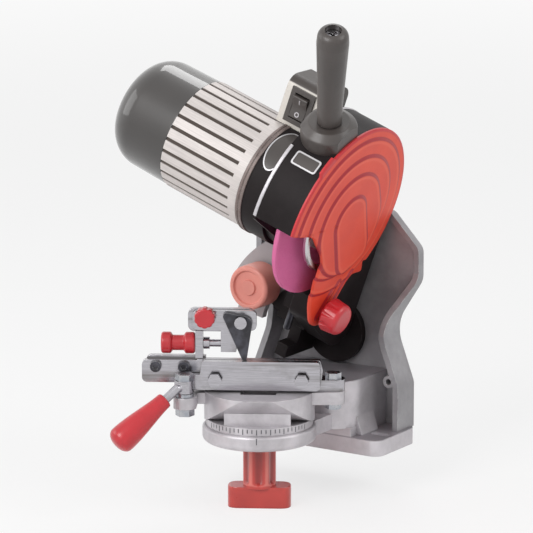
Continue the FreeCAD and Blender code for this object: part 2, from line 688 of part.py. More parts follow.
def tilt_pivot_bolt():
    """Big washer and bolt that keep the bracket's spigot in the column."""
    face = COLUMN_BACK + GAP / 2
    washer = rod_y(TILT_WASHER_R, face, face + TILT_WASHER_T, 0, RAIL_Z)
    shank = rod_y(TILT_BOLT_R, HUB_FRONT + 1, face + TILT_WASHER_T, 0, RAIL_Z)
    head = hexagon(17, face + TILT_WASHER_T, face + TILT_WASHER_T + 6.5, Vector(0, 0, RAIL_Z), Y_AXIS)
    return lean(fused([washer, shank, head]))


def swing_bushes():
    """Two bronze bushes pressed into the barrel."""
    bushes = []
    for start in (BARREL_LEFT, BARREL_LEFT + BUSH_LEN + 1):
        tube = rod_x(BUSH_R, start, start + BUSH_LEN, PIVOT_Y, PIVOT_Z)
        bushes.append(tube.cut(rod_x(PIN_R + RUN, start - 1, start + BUSH_LEN + 1, PIVOT_Y, PIVOT_Z)))
    return lean(Part.makeCompound(bushes))


def return_spring():
    """Torsion spring around the swing pin that lifts the head."""
    start = BARREL_LEFT + 2 * BUSH_LEN + 1 + SPRING_WIRE / 2 + GAP
    stop = BARREL_RIGHT - SPRING_WIRE / 2 - GAP
    turns = 4
    spring = coil(SPRING_ROOM_R - 0.6 - SPRING_WIRE / 2, SPRING_WIRE / 2, (stop - start) / turns,
                  stop - start, Vector(start, PIVOT_Y, PIVOT_Z), X_AXIS)
    return lean(spring)


def depth_stop_screw():
    """Knurled screw whose tip meets the bracket's nose when the head is down."""
    shank = rod_z(STOP_R, STOP_TIP_Z, STOP_HEAD_Z, STOP_X, STOP_Y)
    head = turned([(0, 0, 0), (0, STOP_HEAD_R, 1), (STOP_HEAD_H, STOP_HEAD_R, 1), (STOP_HEAD_H, 0, 0)],
                  Vector(STOP_X, STOP_Y, STOP_HEAD_Z), Z_AXIS)
    head = fluted(head, 12, STOP_HEAD_R + 0.5, 1.1, Vector(STOP_X, STOP_Y, STOP_HEAD_Z), Z_AXIS,
                  STOP_HEAD_H)
    return lean(fused([shank, head]))


# ================================================================= head
def wheel_circle(radius, x0, x1):
    """Round bar on the wheel axis."""
    return rod_x(radius, x0, x1, WHEEL_Y, WHEEL_Z)


def about_wheel(corners):
    """Outline corners given from the wheel centre, moved to the head's frame."""
    return [(WHEEL_Y + y, WHEEL_Z + z, rounding) for y, z, rounding in corners]


def head_screw_spots():
    """Seats of the four screws that hold guard, arm and motor together."""
    return [radial(15 + 90 * step, SCREW_RING_R, GUARD_LEFT + GUARD_WALL) for step in range(4)]


def head_arm():
    """Black arm: boss on the swing pin, horn behind the guard, and round plate for the motor."""
    lug_y = WHEEL_Y + COVER_STUD_Y
    lug_z = WHEEL_Z + COVER_STUD_Z
    top = WHEEL_Z - 19.5
    low = PIVOT_Z - BARREL_R + 0.5
    horn = slab([(lug_y - 12, lug_z + 12, 0), (lug_y - 12, lug_z - 9, 9), (PIVOT_Y - 9, low, 8),
                 (PIVOT_Y, low, 0), (ARM_BACK, PIVOT_Z, 0), (ARM_BACK, top, 0),
                 (WHEEL_Y + 28, top, 0)], "yz", ARM_LEFT, ARM_RIGHT)
    bridge = slab([(WHEEL_Y + 18, BRIDGE_LOW, 0), (ARM_BACK, BRIDGE_LOW, 4), (ARM_BACK, top, 0),
                   (WHEEL_Y + 28, top, 0)], "yz", GUARD_LEFT, ARM_LEFT)
    boss = rod_x(BARREL_R, ARM_LEFT, ARM_RIGHT, PIVOT_Y, PIVOT_Z)
    wheel_room = wheel_circle(GUARD_R + GAP, GUARD_LEFT, ARM_RIGHT + 1)
    outer = fused([horn, bridge, boss]).cut(wheel_room)
    plate = wheel_circle(PLATE_R, PLATE_LEFT, GUARD_LEFT)
    neck = slab([(WHEEL_Y - 12, WHEEL_Z - 42, 0), (WHEEL_Y + 26, BRIDGE_Z, 6), (ARM_BACK, BRIDGE_Z, 4),
                 (ARM_BACK, top, 4), (WHEEL_Y + 44, WHEEL_Z + 16, 0), (WHEEL_Y, WHEEL_Z + 20, 0)],
                "yz", PLATE_LEFT, GUARD_LEFT)
    stop_lug = box(STOP_X - 6, ARM_LEFT + 1, STOP_Y - 7, STOP_Y + 7, PIVOT_Z + 10, PIVOT_Z + 22)
    body = fused([outer, plate, neck, stop_lug])
    cuts = [rod_x(PIN_R, ARM_LEFT - 1, ARM_RIGHT + 1, PIVOT_Y, PIVOT_Z),
            wheel_circle(HUB_HOLE_R, PLATE_LEFT - 1, GUARD_LEFT + 1),
            rod_x(COVER_STUD_R, ARM_LEFT - 1, ARM_RIGHT + 1, lug_y, lug_z),
            rod_z(STOP_R + RUN, PIVOT_Z, PIVOT_Z + 30, STOP_X, STOP_Y)]
    for spot in head_screw_spots():
        cuts.append(rod_x(SCREW_R + LOOSE, PLATE_LEFT - 1, GUARD_LEFT + 1, spot.y, spot.z))
    return lean(body.cut(cuts))


def swing_pin():
    """Pin pressed into the arm; it turns in the bushes and ends in a nut."""
    pin = rod_x(PIN_R, BARREL_LEFT - 5, ARM_RIGHT, PIVOT_Y, PIVOT_Z)
    nut = hexagon(16, BARREL_LEFT - 6, BARREL_LEFT - GAP, Vector(0, PIVOT_Y, PIVOT_Z), X_AXIS)
    return lean(fused([pin, nut]))


def guard_shares(corners):
    """Outline corners about the wheel, from shares of the guard's radius."""
    return [(y * GUARD_R, z * GUARD_R, rounding) for y, z, rounding in corners]


def wheel_guard():
    """Open shell around the wheel, with a back wall against the arm's plate."""
    centre = (WHEEL_Y, WHEEL_Z)
    shell = wedge(GUARD_R - GUARD_WALL, GUARD_R, GUARD_FROM, GUARD_TO, GUARD_LEFT, GUARD_RIGHT,
                  "yz", centre)
    end = math.radians(GUARD_FROM)
    beyond = GUARD_R + 2
    open_side = slab(about_wheel([(beyond * math.cos(end), beyond * math.sin(end), 0)]
                                 + guard_shares(WALL_MOUTH)
                                 + [(-beyond, -3.5, 0), (-beyond, -beyond, 0),
                                    (0.8 * beyond, -beyond, 0)]),
                     "yz", GUARD_LEFT - 1, GUARD_LEFT + GUARD_WALL + 1)
    wall = wheel_circle(GUARD_R, GUARD_LEFT, GUARD_LEFT + GUARD_WALL).cut(open_side)
    body = fused([shell, wall])
    cuts = [wheel_circle(HUB_HOLE_R, GUARD_LEFT - 1, GUARD_LEFT + GUARD_WALL + 1)]
    for spot in head_screw_spots():
        cuts.append(rod_x(SCREW_R + LOOSE, GUARD_LEFT - 1, GUARD_LEFT + GUARD_WALL + 1, spot.y, spot.z))
    return lean(body.cut(cuts))


def wheel_cover():
    """Red side cover with round steps and a tail that the cover knob clamps."""
    face = GUARD_RIGHT
    rim = wheel_circle(GUARD_R, face, face + COVER_T)
    layers = [rim]
    hollows = []
    for step, radius in enumerate(COVER_RINGS):
        rise = COVER_STEP * (step + 1)
        layers.append(wheel_circle(radius, face, face + COVER_T + rise))
        hollows.append(wheel_circle(radius - COVER_T, face - 1, face + rise))
    low = COVER_STUD_Z - 13.2
    heel = (COVER_STUD_Y - 27.3, COVER_STUD_Z + 9.8)
    tail = slab(about_wheel(guard_shares([(0.682, -0.656, 2), (0.735, -0.787, 3), (0.538, -0.787, 3)])
                            + [(COVER_STUD_Y + 13.2, COVER_STUD_Z + 10.8, 8),
                               (COVER_STUD_Y + 12.2, low, 9), (COVER_STUD_Y - 13.8, low, 9),
                               (*heel, 9), (COVER_STUD_Y - 33.8, COVER_STUD_Z + 32.8, 8)]
                            + guard_shares([(-0.262, -0.446, 4), (0.262, -0.262, 0)])),
                "yz", face, face + COVER_T)
    tab = wedge(GUARD_R - 3, GUARD_R + 4, TAB_FROM, TAB_TO, face, face + COVER_T + 1,
                "yz", (WHEEL_Y, WHEEL_Z))
    beyond = GUARD_R + 5
    open_side = slab(about_wheel([(-beyond, -3.5, 0)] + guard_shares(COVER_MOUTH)
                                 + [(*heel, 0), (heel[0], -beyond - 25, 0), (-beyond, -beyond - 25, 0)]),
                     "yz", face - 1, face + COVER_T + 20)
    body = fused(layers + [tail, tab])
    body = body.cut(hollows)
    body = body.cut(open_side)
    hole = rod_x(COVER_STUD_R + LOOSE, face - 1, face + 20, WHEEL_Y + COVER_STUD_Y, WHEEL_Z + COVER_STUD_Z)
    return lean(body.cut(hole))


def cover_stud():
    """Stud in the arm that carries the cover's tail and knob."""
    end = GUARD_RIGHT + COVER_T + GAP + COVER_KNOB_LEN - 4
    return lean(rod_x(COVER_STUD_R, ARM_LEFT + 2, end, WHEEL_Y + COVER_STUD_Y, WHEEL_Z + COVER_STUD_Z))


def cover_knob():
    """Fluted red knob on the cover's tail."""
    seat = GUARD_RIGHT + COVER_T + GAP
    centre = Vector(seat, WHEEL_Y + COVER_STUD_Y, WHEEL_Z + COVER_STUD_Z)
    body = turned([(0, 0, 0), (0, 8, 0.8), (3, 8.5, 0.5), (4.5, COVER_KNOB_R, 1.5),
                   (COVER_KNOB_LEN, COVER_KNOB_R - 1.5, 4), (COVER_KNOB_LEN, 0, 0)], centre, X_AXIS)
    body = fluted(body, 10, COVER_KNOB_R + 1.6, 2.8, centre, X_AXIS, COVER_KNOB_LEN)
    bore = rod_x(COVER_STUD_R + RUN, seat - 1, seat + COVER_KNOB_LEN - 3.5, centre.y, centre.z)
    return lean(body.cut(bore))


def handle_axis():
    """Direction of the handle, straight out from the wheel axis."""
    return radial(HANDLE_AT, 1).sub(radial(HANDLE_AT, 0))


def handle_collar():
    """Round foot of the handle, saddled on the guard."""
    body = turned([(GUARD_R - 8, 0, 0), (GUARD_R - 8, COLLAR_R, 0), (COLLAR_TOP - 5, COLLAR_R, 2),
                   (COLLAR_TOP, COLLAR_R - 6, 2), (COLLAR_TOP, 0, 0)],
                  radial(HANDLE_AT, 0, HANDLE_X), handle_axis())
    body = body.cut(wheel_circle(GUARD_R, GUARD_LEFT - 10, GUARD_RIGHT + 10))
    body = body.common(box(GUARD_LEFT, GUARD_RIGHT, WHEEL_Y - 200, WHEEL_Y + 200, WHEEL_Z, WHEEL_Z + 200))
    bore = rod_between(HANDLE_ROD_R, radial(HANDLE_AT, GUARD_R - 9, HANDLE_X),
                       radial(HANDLE_AT, COLLAR_TOP + 1, HANDLE_X))
    return lean(body.cut(bore))


def handle_grip():
    """Tapered grip, thicker at its rounded top."""
    body = turned([(COLLAR_TOP, 0, 0), (COLLAR_TOP, GRIP_R_LOW, 1), (COLLAR_TOP + 22, GRIP_R_LOW + 0.4, 40),
                   (GRIP_TOP - 12, GRIP_R_HIGH, 20), (GRIP_TOP, GRIP_R_HIGH - 1, 7), (GRIP_TOP, 0, 0)],
                  radial(HANDLE_AT, 0, HANDLE_X), handle_axis())
    bore = rod_between(HANDLE_ROD_R, radial(HANDLE_AT, COLLAR_TOP - 1, HANDLE_X),
                       radial(HANDLE_AT, GRIP_TOP - 10, HANDLE_X))
    recess = rod_between(HANDLE_ROD_R + 2.5, radial(HANDLE_AT, GRIP_TOP - 11, HANDLE_X),
                         radial(HANDLE_AT, GRIP_TOP + 1, HANDLE_X))
    return lean(body.cut([bore, recess]))


def handle_rod():
    """Long screw through the grip and the collar, with a cross in its head."""
    foot = GUARD_R
    head = GRIP_TOP - 11
    shank = rod_between(HANDLE_ROD_R, radial(HANDLE_AT, foot, HANDLE_X), radial(HANDLE_AT, head, HANDLE_X))
    cap = rod_between(HANDLE_ROD_R + 2.2, radial(HANDLE_AT, head, HANDLE_X),
                      radial(HANDLE_AT, head + 6, HANDLE_X))
    body = fused([shank, cap])
    turn = FreeCAD.Rotation(Z_AXIS, handle_axis())
    cross = []
    for half_x, half_y in ((4.6, 0.8), (0.8, 4.6)):
        bar = box(-half_x, half_x, -half_y, half_y, 0, 4)
        bar.Placement = FreeCAD.Placement(radial(HANDLE_AT, head + 3.5, HANDLE_X), turn)
        cross.append(bar)
    return lean(body.cut(cross))


# ================================================================= motor
def motor_flange():
    """Black end frame of the motor, with the front bearing seat."""
    body = wheel_circle(FLANGE_R, FLANGE_LEFT, PLATE_LEFT)
    hollow = wheel_circle(MOTOR_R - MOTOR_WALL, FLANGE_LEFT - 1, PLATE_LEFT - FLANGE_FLOOR)
    hub = wheel_circle(BEARING_R + 5, FLANGE_LEFT, PLATE_LEFT - 1)
    body = body.cut(hollow).fuse(hub).removeSplitter()
    cuts = [wheel_circle(BEARING_R, FLANGE_LEFT - 1, FLANGE_LEFT + BEARING_W),
            wheel_circle(SHAFT_R + 2, FLANGE_LEFT, PLATE_LEFT + 1)]
    for spot in head_screw_spots():
        cuts.append(rod_x(SCREW_R, PLATE_LEFT - FLANGE_FLOOR - 1, PLATE_LEFT + 1, spot.y, spot.z))
    return lean(body.cut(cuts))


def motor_housing():
    """Ribbed aluminium body of the motor, plain at its right end."""
    body = wheel_circle(MOTOR_R, HOUSING_LEFT, FLANGE_LEFT)
    body = body.cut(wheel_circle(MOTOR_R - MOTOR_WALL, HOUSING_LEFT - 1, FLANGE_LEFT + 1))
    grooves = []
    for rib in range(RIBS):
        spot = radial(360 * (rib + 0.5) / RIBS, MOTOR_R + 0.2)
        grooves.append(rod_x(RIB_GROOVE_R, HOUSING_LEFT - 1, FLANGE_LEFT - END_RING, spot.y, spot.z))
    return lean(body.cut(grooves))


def motor_end_cap():
    """Domed black cap over the fan."""
    wall = CAP_WALL
    body = turned([(0, CAP_R - wall, 0), (0, CAP_R, 0.6), (CAP_LEN, CAP_R - 1, CAP_ROUND), (CAP_LEN, 0, 0),
                   (CAP_LEN - wall, 0, 0), (CAP_LEN - wall, CAP_R - 1 - wall, CAP_ROUND - wall)],
                  Vector(HOUSING_LEFT, WHEEL_Y, WHEEL_Z), X_AXIS * -1)
    return lean(body)


def rear_bell():
    """Inner end plate that carries the rear bearing."""
    plate = wheel_circle(CAP_R - CAP_WALL - 0.1, HOUSING_LEFT - 5, HOUSING_LEFT)
    hub = wheel_circle(BEARING_R + 4, HOUSING_LEFT - 5, HOUSING_LEFT + BEARING_W - 2)
    body = fused([plate, hub])
    cuts = [wheel_circle(SHAFT_R + 2, HOUSING_LEFT - 6, HOUSING_LEFT + BEARING_W),
            wheel_circle(BEARING_R, HOUSING_LEFT - 2, HOUSING_LEFT + BEARING_W)]
    for step in range(6):
        spot = radial(60 * step, 31)
        cuts.append(rod_x(6, HOUSING_LEFT - 6, HOUSING_LEFT + 1, spot.y, spot.z))
    return lean(body.cut(cuts))


def bearings():
    """Front and rear ball bearings as plain rings."""
    rings = []
    for start in (FLANGE_LEFT, HOUSING_LEFT - 2):
        ring = wheel_circle(BEARING_R, start, start + BEARING_W)
        rings.append(lean(ring.cut(wheel_circle(SHAFT_R + RUN, start - 1, start + BEARING_W + 1))))
    return Part.makeCompound(rings)


def stator():
    """Laminated stack with a coil ring at each end."""
    outer = wheel_circle(MOTOR_R - MOTOR_WALL, STACK_LEFT, STACK_RIGHT)
    rings = wheel_circle(38, STACK_LEFT - 8, STACK_RIGHT + 8)
    body = fused([outer, rings])
    return lean(body.cut(wheel_circle(ROTOR_R + 0.6, STACK_LEFT - 9, STACK_RIGHT + 9)))


def rotor_core():
    """Squirrel-cage core on the shaft."""
    core = wheel_circle(ROTOR_R, STACK_LEFT, STACK_RIGHT)
    return lean(core.cut(wheel_circle(CORE_BORE_R, STACK_LEFT - 1, STACK_RIGHT + 1)))


def rotor_shaft():
    """Motor shaft, which also carries the wheel."""
    shaft = wheel_circle(SHAFT_R, FAN_LEFT - 2, WHEEL_NUT_END + 1.5)
    core_seat = wheel_circle(CORE_BORE_R, STACK_LEFT - 2, STACK_RIGHT + 2)
    return lean(fused([shaft, core_seat]))


def cooling_fan():
    """Fan behind the rear bearing, with straight blades."""
    hub = wheel_circle(11, FAN_LEFT, FAN_LEFT + FAN_LEN)
    disc = wheel_circle(34, FAN_LEFT + FAN_LEN - 2, FAN_LEFT + FAN_LEN)
    blades = []
    for step in range(9):
        blade = box(FAN_LEFT, FAN_LEFT + FAN_LEN - 1, WHEEL_Y + 9, WHEEL_Y + 33, WHEEL_Z - 0.9, WHEEL_Z + 0.9)
        blade.rotate(Vector(0, WHEEL_Y, WHEEL_Z), X_AXIS, 40 * step)
        blades.append(blade)
    body = fused([hub, disc] + blades)
    return lean(body.cut(wheel_circle(SHAFT_R, FAN_LEFT - 1, FAN_LEFT + FAN_LEN + 1)))


def head_screws():
    """Screws through guard and arm plate into the motor flange."""
    length = GUARD_WALL + PLATE_T + FLANGE_FLOOR - 1
    return Part.makeCompound([lean(cap_screw(SCREW_R, length, spot, X_AXIS * -1))
                              for spot in head_screw_spots()])


# ================================================================= wheel
def grinding_wheel():
    """Abrasive disc."""
    half = WHEEL_T / 2
    body = turned([(-half, WHEEL_BORE_R, 0), (-half, WHEEL_R, 0.8), (half, WHEEL_R, 0.8),
                   (half, WHEEL_BORE_R, 0)], Vector(0, WHEEL_Y, WHEEL_Z), X_AXIS)
    return lean(body)


def blotters():
    """Paper washers on both sides of the wheel."""
    half = WHEEL_T / 2
    papers = []
    for start in (-half - BLOTTER_T, half):
        paper = wheel_circle(BLOTTER_R, start, start + BLOTTER_T)
        papers.append(lean(paper.cut(wheel_circle(WHEEL_BORE_R, start - 1, start + BLOTTER_T + 1))))
    return Part.makeCompound(papers)


def inner_flange():
    """Flange behind the wheel, with the spigot that centres it."""
    back = -WHEEL_T / 2 - BLOTTER_T
    disc = wheel_circle(CLAMP_R, back - CLAMP_T, back)
    spigot = wheel_circle(WHEEL_BORE_R - RUN, back - 1, WHEEL_T / 2 - 0.5)
    body = fused([disc, spigot])
    return lean(body.cut(wheel_circle(SHAFT_R, back - CLAMP_T - 1, WHEEL_T)))


def outer_flange():
    """Dished flange in front of the wheel."""
    face = WHEEL_T / 2 + BLOTTER_T
    body = turned([(0, SHAFT_R, 0), (0, CLAMP_R, 0.5), (2.5, CLAMP_R, 1), (CLAMP_T, CLAMP_R - 9, 2),
                   (CLAMP_T, SHAFT_R, 0)], Vector(face, WHEEL_Y, WHEEL_Z), X_AXIS)
    return lean(body)


def wheel_nut():
    """Nut on the end of the shaft."""
    start = WHEEL_T / 2 + BLOTTER_T + CLAMP_T
    nut = hexagon(19, start, WHEEL_NUT_END, Vector(0, WHEEL_Y, WHEEL_Z), X_AXIS)
    return lean(nut.cut(wheel_circle(SHAFT_R, start - 1, WHEEL_NUT_END + 1)))


# ================================================================= switch
def switch_box():
    """Hollow box on the motor flange that holds the switch."""
    low = WHEEL_Z + BOX_LOW
    top = WHEEL_Z + BOX_TOP
    outer = slab([(BOX_Y - BOX_HALF_W, low, 0), (BOX_Y + BOX_HALF_W, low, 0),
                  (BOX_Y + BOX_HALF_W, top, BOX_CORNER), (BOX_Y - BOX_HALF_W, top, BOX_CORNER)],
                 "yz", BOX_X0, BOX_X1)
    inner_half = BOX_HALF_W - BOX_WALL
    inner_corner = BOX_CORNER - BOX_WALL
    inner = slab([(BOX_Y - inner_half, low, 0), (BOX_Y + inner_half, low, 0),
                  (BOX_Y + inner_half, top - BOX_WALL, inner_corner),
                  (BOX_Y - inner_half, top - BOX_WALL, inner_corner)],
                 "yz", BOX_X0 + BOX_WALL, BOX_X1 - BOX_WALL)
    cuts = [inner, wheel_circle(FLANGE_R, BOX_X0 - 1, BOX_X1 + 1),
            box(SWITCH_X - SWITCH_HALF_X, SWITCH_X + SWITCH_HALF_X,
                SWITCH_FACE - 1, SWITCH_FACE + BOX_WALL + 1,
                SWITCH_Z - SWITCH_HALF_Z, SWITCH_Z + SWITCH_HALF_Z),
            rod_y(GLAND_R - 2, BOX_Y, BOX_Y + BOX_HALF_W + 1, SWITCH_X, SWITCH_Z)]
    return lean(outer.cut(cuts))


def rocker_pivot(radius, reach):
    """Round bar on the rocker's axis, reaching to each side of its middle."""
    return rod_x(radius, SWITCH_X - reach, SWITCH_X + reach, SWITCH_FACE + 1, SWITCH_Z)


def switch_bezel():
    """Frame and body of the rocker switch."""
    wide = SWITCH_HALF_X
    tall = SWITCH_HALF_Z
    frame = box(SWITCH_X - wide - BEZEL, SWITCH_X + wide + BEZEL, SWITCH_FACE - BEZEL_T, SWITCH_FACE,
                SWITCH_Z - tall - BEZEL, SWITCH_Z + tall + BEZEL)
    body = box(SWITCH_X - wide, SWITCH_X + wide, SWITCH_FACE - 1, SWITCH_FACE + 16,
               SWITCH_Z - tall, SWITCH_Z + tall)
    room = box(SWITCH_X - wide + BEZEL, SWITCH_X + wide - BEZEL, SWITCH_FACE - 2, SWITCH_FACE + 12,
               SWITCH_Z - tall + BEZEL, SWITCH_Z + tall - BEZEL)
    return lean(fused([frame, body]).cut([room, rocker_pivot(ROCKER_PIN_R + RUN, wide - BEZEL / 2)]))


def switch_rocker():
    """Rocker that tips about its middle on two short pins."""
    face = SWITCH_FACE
    half = SWITCH_HALF_Z - BEZEL - 1
    body = slab([(face + 3, SWITCH_Z - half, 0.5), (face - 3.6, SWITCH_Z - half, 1),
                 (face - 1.2, SWITCH_Z, 12), (face - 3.6, SWITCH_Z + half, 1),
                 (face + 3, SWITCH_Z + half, 0.5), (face + 6, SWITCH_Z, 6)],
                "yz", SWITCH_X - SWITCH_HALF_X + BEZEL + GAP, SWITCH_X + SWITCH_HALF_X - BEZEL - GAP)
    tipped = body.copy()
    tipped.rotate(Vector(SWITCH_X, face + 1, SWITCH_Z), X_AXIS, ROCKER_TIP)
    pins = rocker_pivot(ROCKER_PIN_R, SWITCH_HALF_X - BEZEL / 2 - RUN)
    return lean(fused([tipped, pins]))


def cord_gland():
    """Cord gland on the rear of the switch box."""
    face = BOX_Y + BOX_HALF_W
    body = turned([(-BOX_WALL - 1, 0, 0), (-BOX_WALL - 1, GLAND_R - 2, 0), (0, GLAND_R - 2, 0),
                   (0, GLAND_R, 0), (5, GLAND_R, 1), (6, GLAND_R - 2, 0.5),
                   (16, GLAND_R - 3.5, 1.5), (16, 0, 0)],
                  Vector(SWITCH_X, face, SWITCH_Z), Y_AXIS)
    return lean(body.cut(rod_y(GLAND_BORE_R, face - 10, face + 20, SWITCH_X, SWITCH_Z)))


# ================================================================= turntable and vise
def along_rails(radius, half_u):
    """Round bar about the rail line, in the vise's frame."""
    return rod_x(radius, -half_u, half_u, 0, RAIL_Z)


def turntable():
    """Disc on the base's seat, with a trough that the cradle tilts in."""
    disc = rod_z(TABLE_R, PAD_TOP + RUN, PAD_TOP + TABLE_T, 0, 0)
    spigot = rod_z(TABLE_SPIGOT_R, PAD_BOTTOM + PAD_FLOOR + GAP, PAD_TOP + 1, 0, 0)
    trough = box(-TABLE_HALF_U, TABLE_HALF_U, -TROUGH_HALF_V, TROUGH_HALF_V, PAD_TOP + 1, TROUGH_TOP)
    body = fused([disc, spigot, trough])
    cuts = [along_rails(TROUGH_R + RUN, TABLE_R + 1),
            rod_z(STUD_R, PAD_BOTTOM, TROUGH_TOP, 0, 0)]
    return swivel(body.cut(cuts))


def vise_lock_stud():
    """Stud whose broad head holds the cradle down in the trough."""
    shank = rod_z(STUD_R, STUD_BOTTOM, RAIL_Z - CRADLE_INSIDE_R + 2, 0, 0)
    head = box(-STUD_HEAD_HALF, STUD_HEAD_HALF, -STUD_HEAD_HALF, STUD_HEAD_HALF,
               RAIL_Z - CRADLE_INSIDE_R - 1, RAIL_Z - CRADLE_INSIDE_R + STUD_HEAD_H)
    head = head.common(along_rails(CRADLE_INSIDE_R - RUN, STUD_HEAD_HALF + 1))
    return swivel(fused([shank, head]))


def vise_lock_knob():
    """T-shaped knob under the base that clamps turntable and cradle."""
    top = PAD_BOTTOM - GAP
    bar_top = KNOB_BOTTOM + KNOB_BAR_H
    stem = rod_z(KNOB_STEM_R, bar_top - 1, top, 0, 0)
    stem = fluted(stem, 12, KNOB_STEM_R + 0.6, 1.6, Vector(0, 0, bar_top), Z_AXIS, top - bar_top)
    half = KNOB_BAR_LEN / 2
    bar = slab(square_off(half, KNOB_BAR_T / 2, KNOB_BAR_T / 2 - 1), "xy", KNOB_BOTTOM, bar_top)
    body = fused([stem, bar]).cut(rod_z(STUD_R + RUN, STUD_BOTTOM - 1, top + 1, 0, 0))
    return swivel(body)


def vise_cradle():
    """Round-bottomed cradle under the jaws, with an ear at each end."""
    round_part = rod_z(CRADLE_R, RAIL_Z - TROUGH_R - 1, CRADLE_TOP, 0, 0)
    round_part = round_part.common(along_rails(TROUGH_R - RUN, CRADLE_R + 1))
    left_ear = slab([(LEVER_U - EAR_HALF_U, LEVER_V - EAR_HALF_U, EAR_HALF_U - 0.5),
                     (LEVER_U + EAR_HALF_U, LEVER_V - EAR_HALF_U, EAR_HALF_U - 0.5),
                     (LEVER_U + EAR_HALF_U, -12, 0), (-CRADLE_R + 14, -12, 0), (-CRADLE_R + 14, 8, 0),
                     (LEVER_U - EAR_HALF_U, 8, 6)], "xy", EAR_LOW, CRADLE_TOP - 1)
    right_ear = slab([(CRADLE_R - 14, -12, 0), (EAR_U + EAR_HALF_U, -EAR_HALF_U - 1, 7),
                      (EAR_U + EAR_HALF_U, EAR_HALF_U + 1, 7), (CRADLE_R - 14, 12, 0)],
                     "xy", EAR_LOW, CRADLE_TOP)
    body = fused([round_part, left_ear, right_ear])
    room = box(-STUD_HEAD_HALF - 5, STUD_HEAD_HALF + 5, -CRADLE_ROOM_V, CRADLE_ROOM_V,
               RAIL_Z - CRADLE_INSIDE_R - 1, CRADLE_TOP + 1)
    room = room.common(along_rails(CRADLE_INSIDE_R, CRADLE_R))
    reach = TROUGH_R * math.sin(math.radians(TILT_TRAVEL))
    slot = box(-STUD_R - GAP, STUD_R + GAP, -reach, reach, RAIL_Z - TROUGH_R - 1, CRADLE_TOP)
    ends = [rod_z(STUD_R + GAP, RAIL_Z - TROUGH_R - 1, CRADLE_TOP, 0, side * reach) for side in (-1, 1)]
    cuts = [room, slot] + ends
    cuts.append(rod_z(LEVER_BOLT_R, EAR_LOW - 1, CRADLE_TOP + 1, LEVER_U, LEVER_V))
    cuts.append(rod_z(SCREW_R, EAR_LOW - 1, CRADLE_TOP + 1, EAR_U, 0))
    for side in (-1, 1):
        cuts.append(rod_z(SCREW_R, CRADLE_TOP - FOOT_SCREW_LEN + FOOT_T, CRADLE_TOP + 1,
                          side * FOOT_SCREW_U, FOOT_SCREW_V))
    return swivel(body.cut(cuts))


def rear_jaw():
    """Fixed chain rail with its foot, left extension and right ear."""
    rail = slab([(-TAIL_U, TAIL_LOW, 4), (-JAW_HALF_U - 6, TAIL_LOW, 0), (-JAW_HALF_U, CRADLE_TOP, 0),
                 (JAW_HALF_U, CRADLE_TOP, 0), (JAW_HALF_U + 2, RAIL_Z - 8, 0),
                 (JAW_HALF_U, RAIL_Z, 2), (-JAW_HALF_U, RAIL_Z, 0), (-JAW_HALF_U - 1, RAIL_Z - 1, 0),
                 (-TAIL_U, RAIL_Z - 1, 4)], "xz", REAR_FRONT, REAR_BACK)
    foot = box(-JAW_HALF_U + 6, JAW_HALF_U, REAR_BACK - 1, FOOT_BACK, CRADLE_TOP, CRADLE_TOP + FOOT_T)
    ear = slab([(JAW_HALF_U - 4, REAR_FRONT, 0), (EAR_U + EAR_HALF_U, REAR_FRONT, 6),
                (EAR_U + EAR_HALF_U, EAR_HALF_U, 7), (JAW_HALF_U - 4, EAR_HALF_U, 0)],
               "xy", CRADLE_TOP, CRADLE_TOP + EAR_T)
    body = fused([rail, foot, ear])
    cuts = [rod_z(SCREW_R + LOOSE, CRADLE_TOP - 1, CRADLE_TOP + EAR_T + 1, EAR_U, 0)]
    for side in (-1, 1):
        cuts.append(rod_y(GUIDE_R, REAR_FRONT - 1, REAR_BACK + 1, side * GUIDE_U, GUIDE_Z))
        cuts.append(rod_y(SPRING_POCKET_R, REAR_FRONT - 1, REAR_FRONT + SPRING_POCKET,
                          side * GUIDE_U, GUIDE_Z))
        cuts.append(rod_z(SCREW_R + LOOSE, CRADLE_TOP - 1, CRADLE_TOP + FOOT_T + 1,
                          side * FOOT_SCREW_U, FOOT_SCREW_V))
    for u in BRACKET_SCREW_U:
        cuts.append(rod_y(SCREW_R, REAR_FRONT - 1, REAR_BACK + 1, u, BRACKET_SCREW_Z))
    return swivel(body.cut(cuts))


def front_jaw():
    """Moving chain rail on two guide pins, with a tail for the cam."""
    body = slab([(TAIL_FRONT_U, JAW_LOW, 4), (JAW_HALF_U, JAW_LOW, 3), (JAW_HALF_U, RAIL_Z, 3),
                 (-JAW_HALF_U + 4, RAIL_Z, 0), (-JAW_HALF_U + 2, TAIL_TOP, 0), (TAIL_FRONT_U, TAIL_TOP, 4)],
                "xz", JAW_FRONT, JAW_BACK)
    cuts = [rod_y(GUIDE_R + RUN, JAW_FRONT - 1, JAW_BACK + 1, side * GUIDE_U, GUIDE_Z) for side in (-1, 1)]
    return swivel(body.cut(cuts))


def guide_pins():
    """Pins in the rear jaw that the front jaw slides on."""
    pins = []
    end = JAW_FRONT - JAW_OPEN - 2
    for side in (-1, 1):
        pin = rod_y(GUIDE_R, end, REAR_BACK, side * GUIDE_U, GUIDE_Z)
        head = hexagon(10, 0, HEAD_H, Vector(side * GUIDE_U, end, GUIDE_Z), Y_AXIS * -1)
        pins.append(swivel(fused([pin, head])))
    return Part.makeCompound(pins)


def jaw_springs():
    """Springs on the guide pins that push the jaws apart."""
    springs = []
    wire = 0.45
    start = REAR_FRONT + SPRING_POCKET - wire - RUN
    length = start - JAW_BACK - wire - RUN
    for side in (-1, 1):
        spring = coil(GUIDE_R + 1.1, wire, length / 3, length,
                      Vector(side * GUIDE_U, start, GUIDE_Z), Y_AXIS * -1)
        springs.append(swivel(spring))
    return Part.makeCompound(springs)


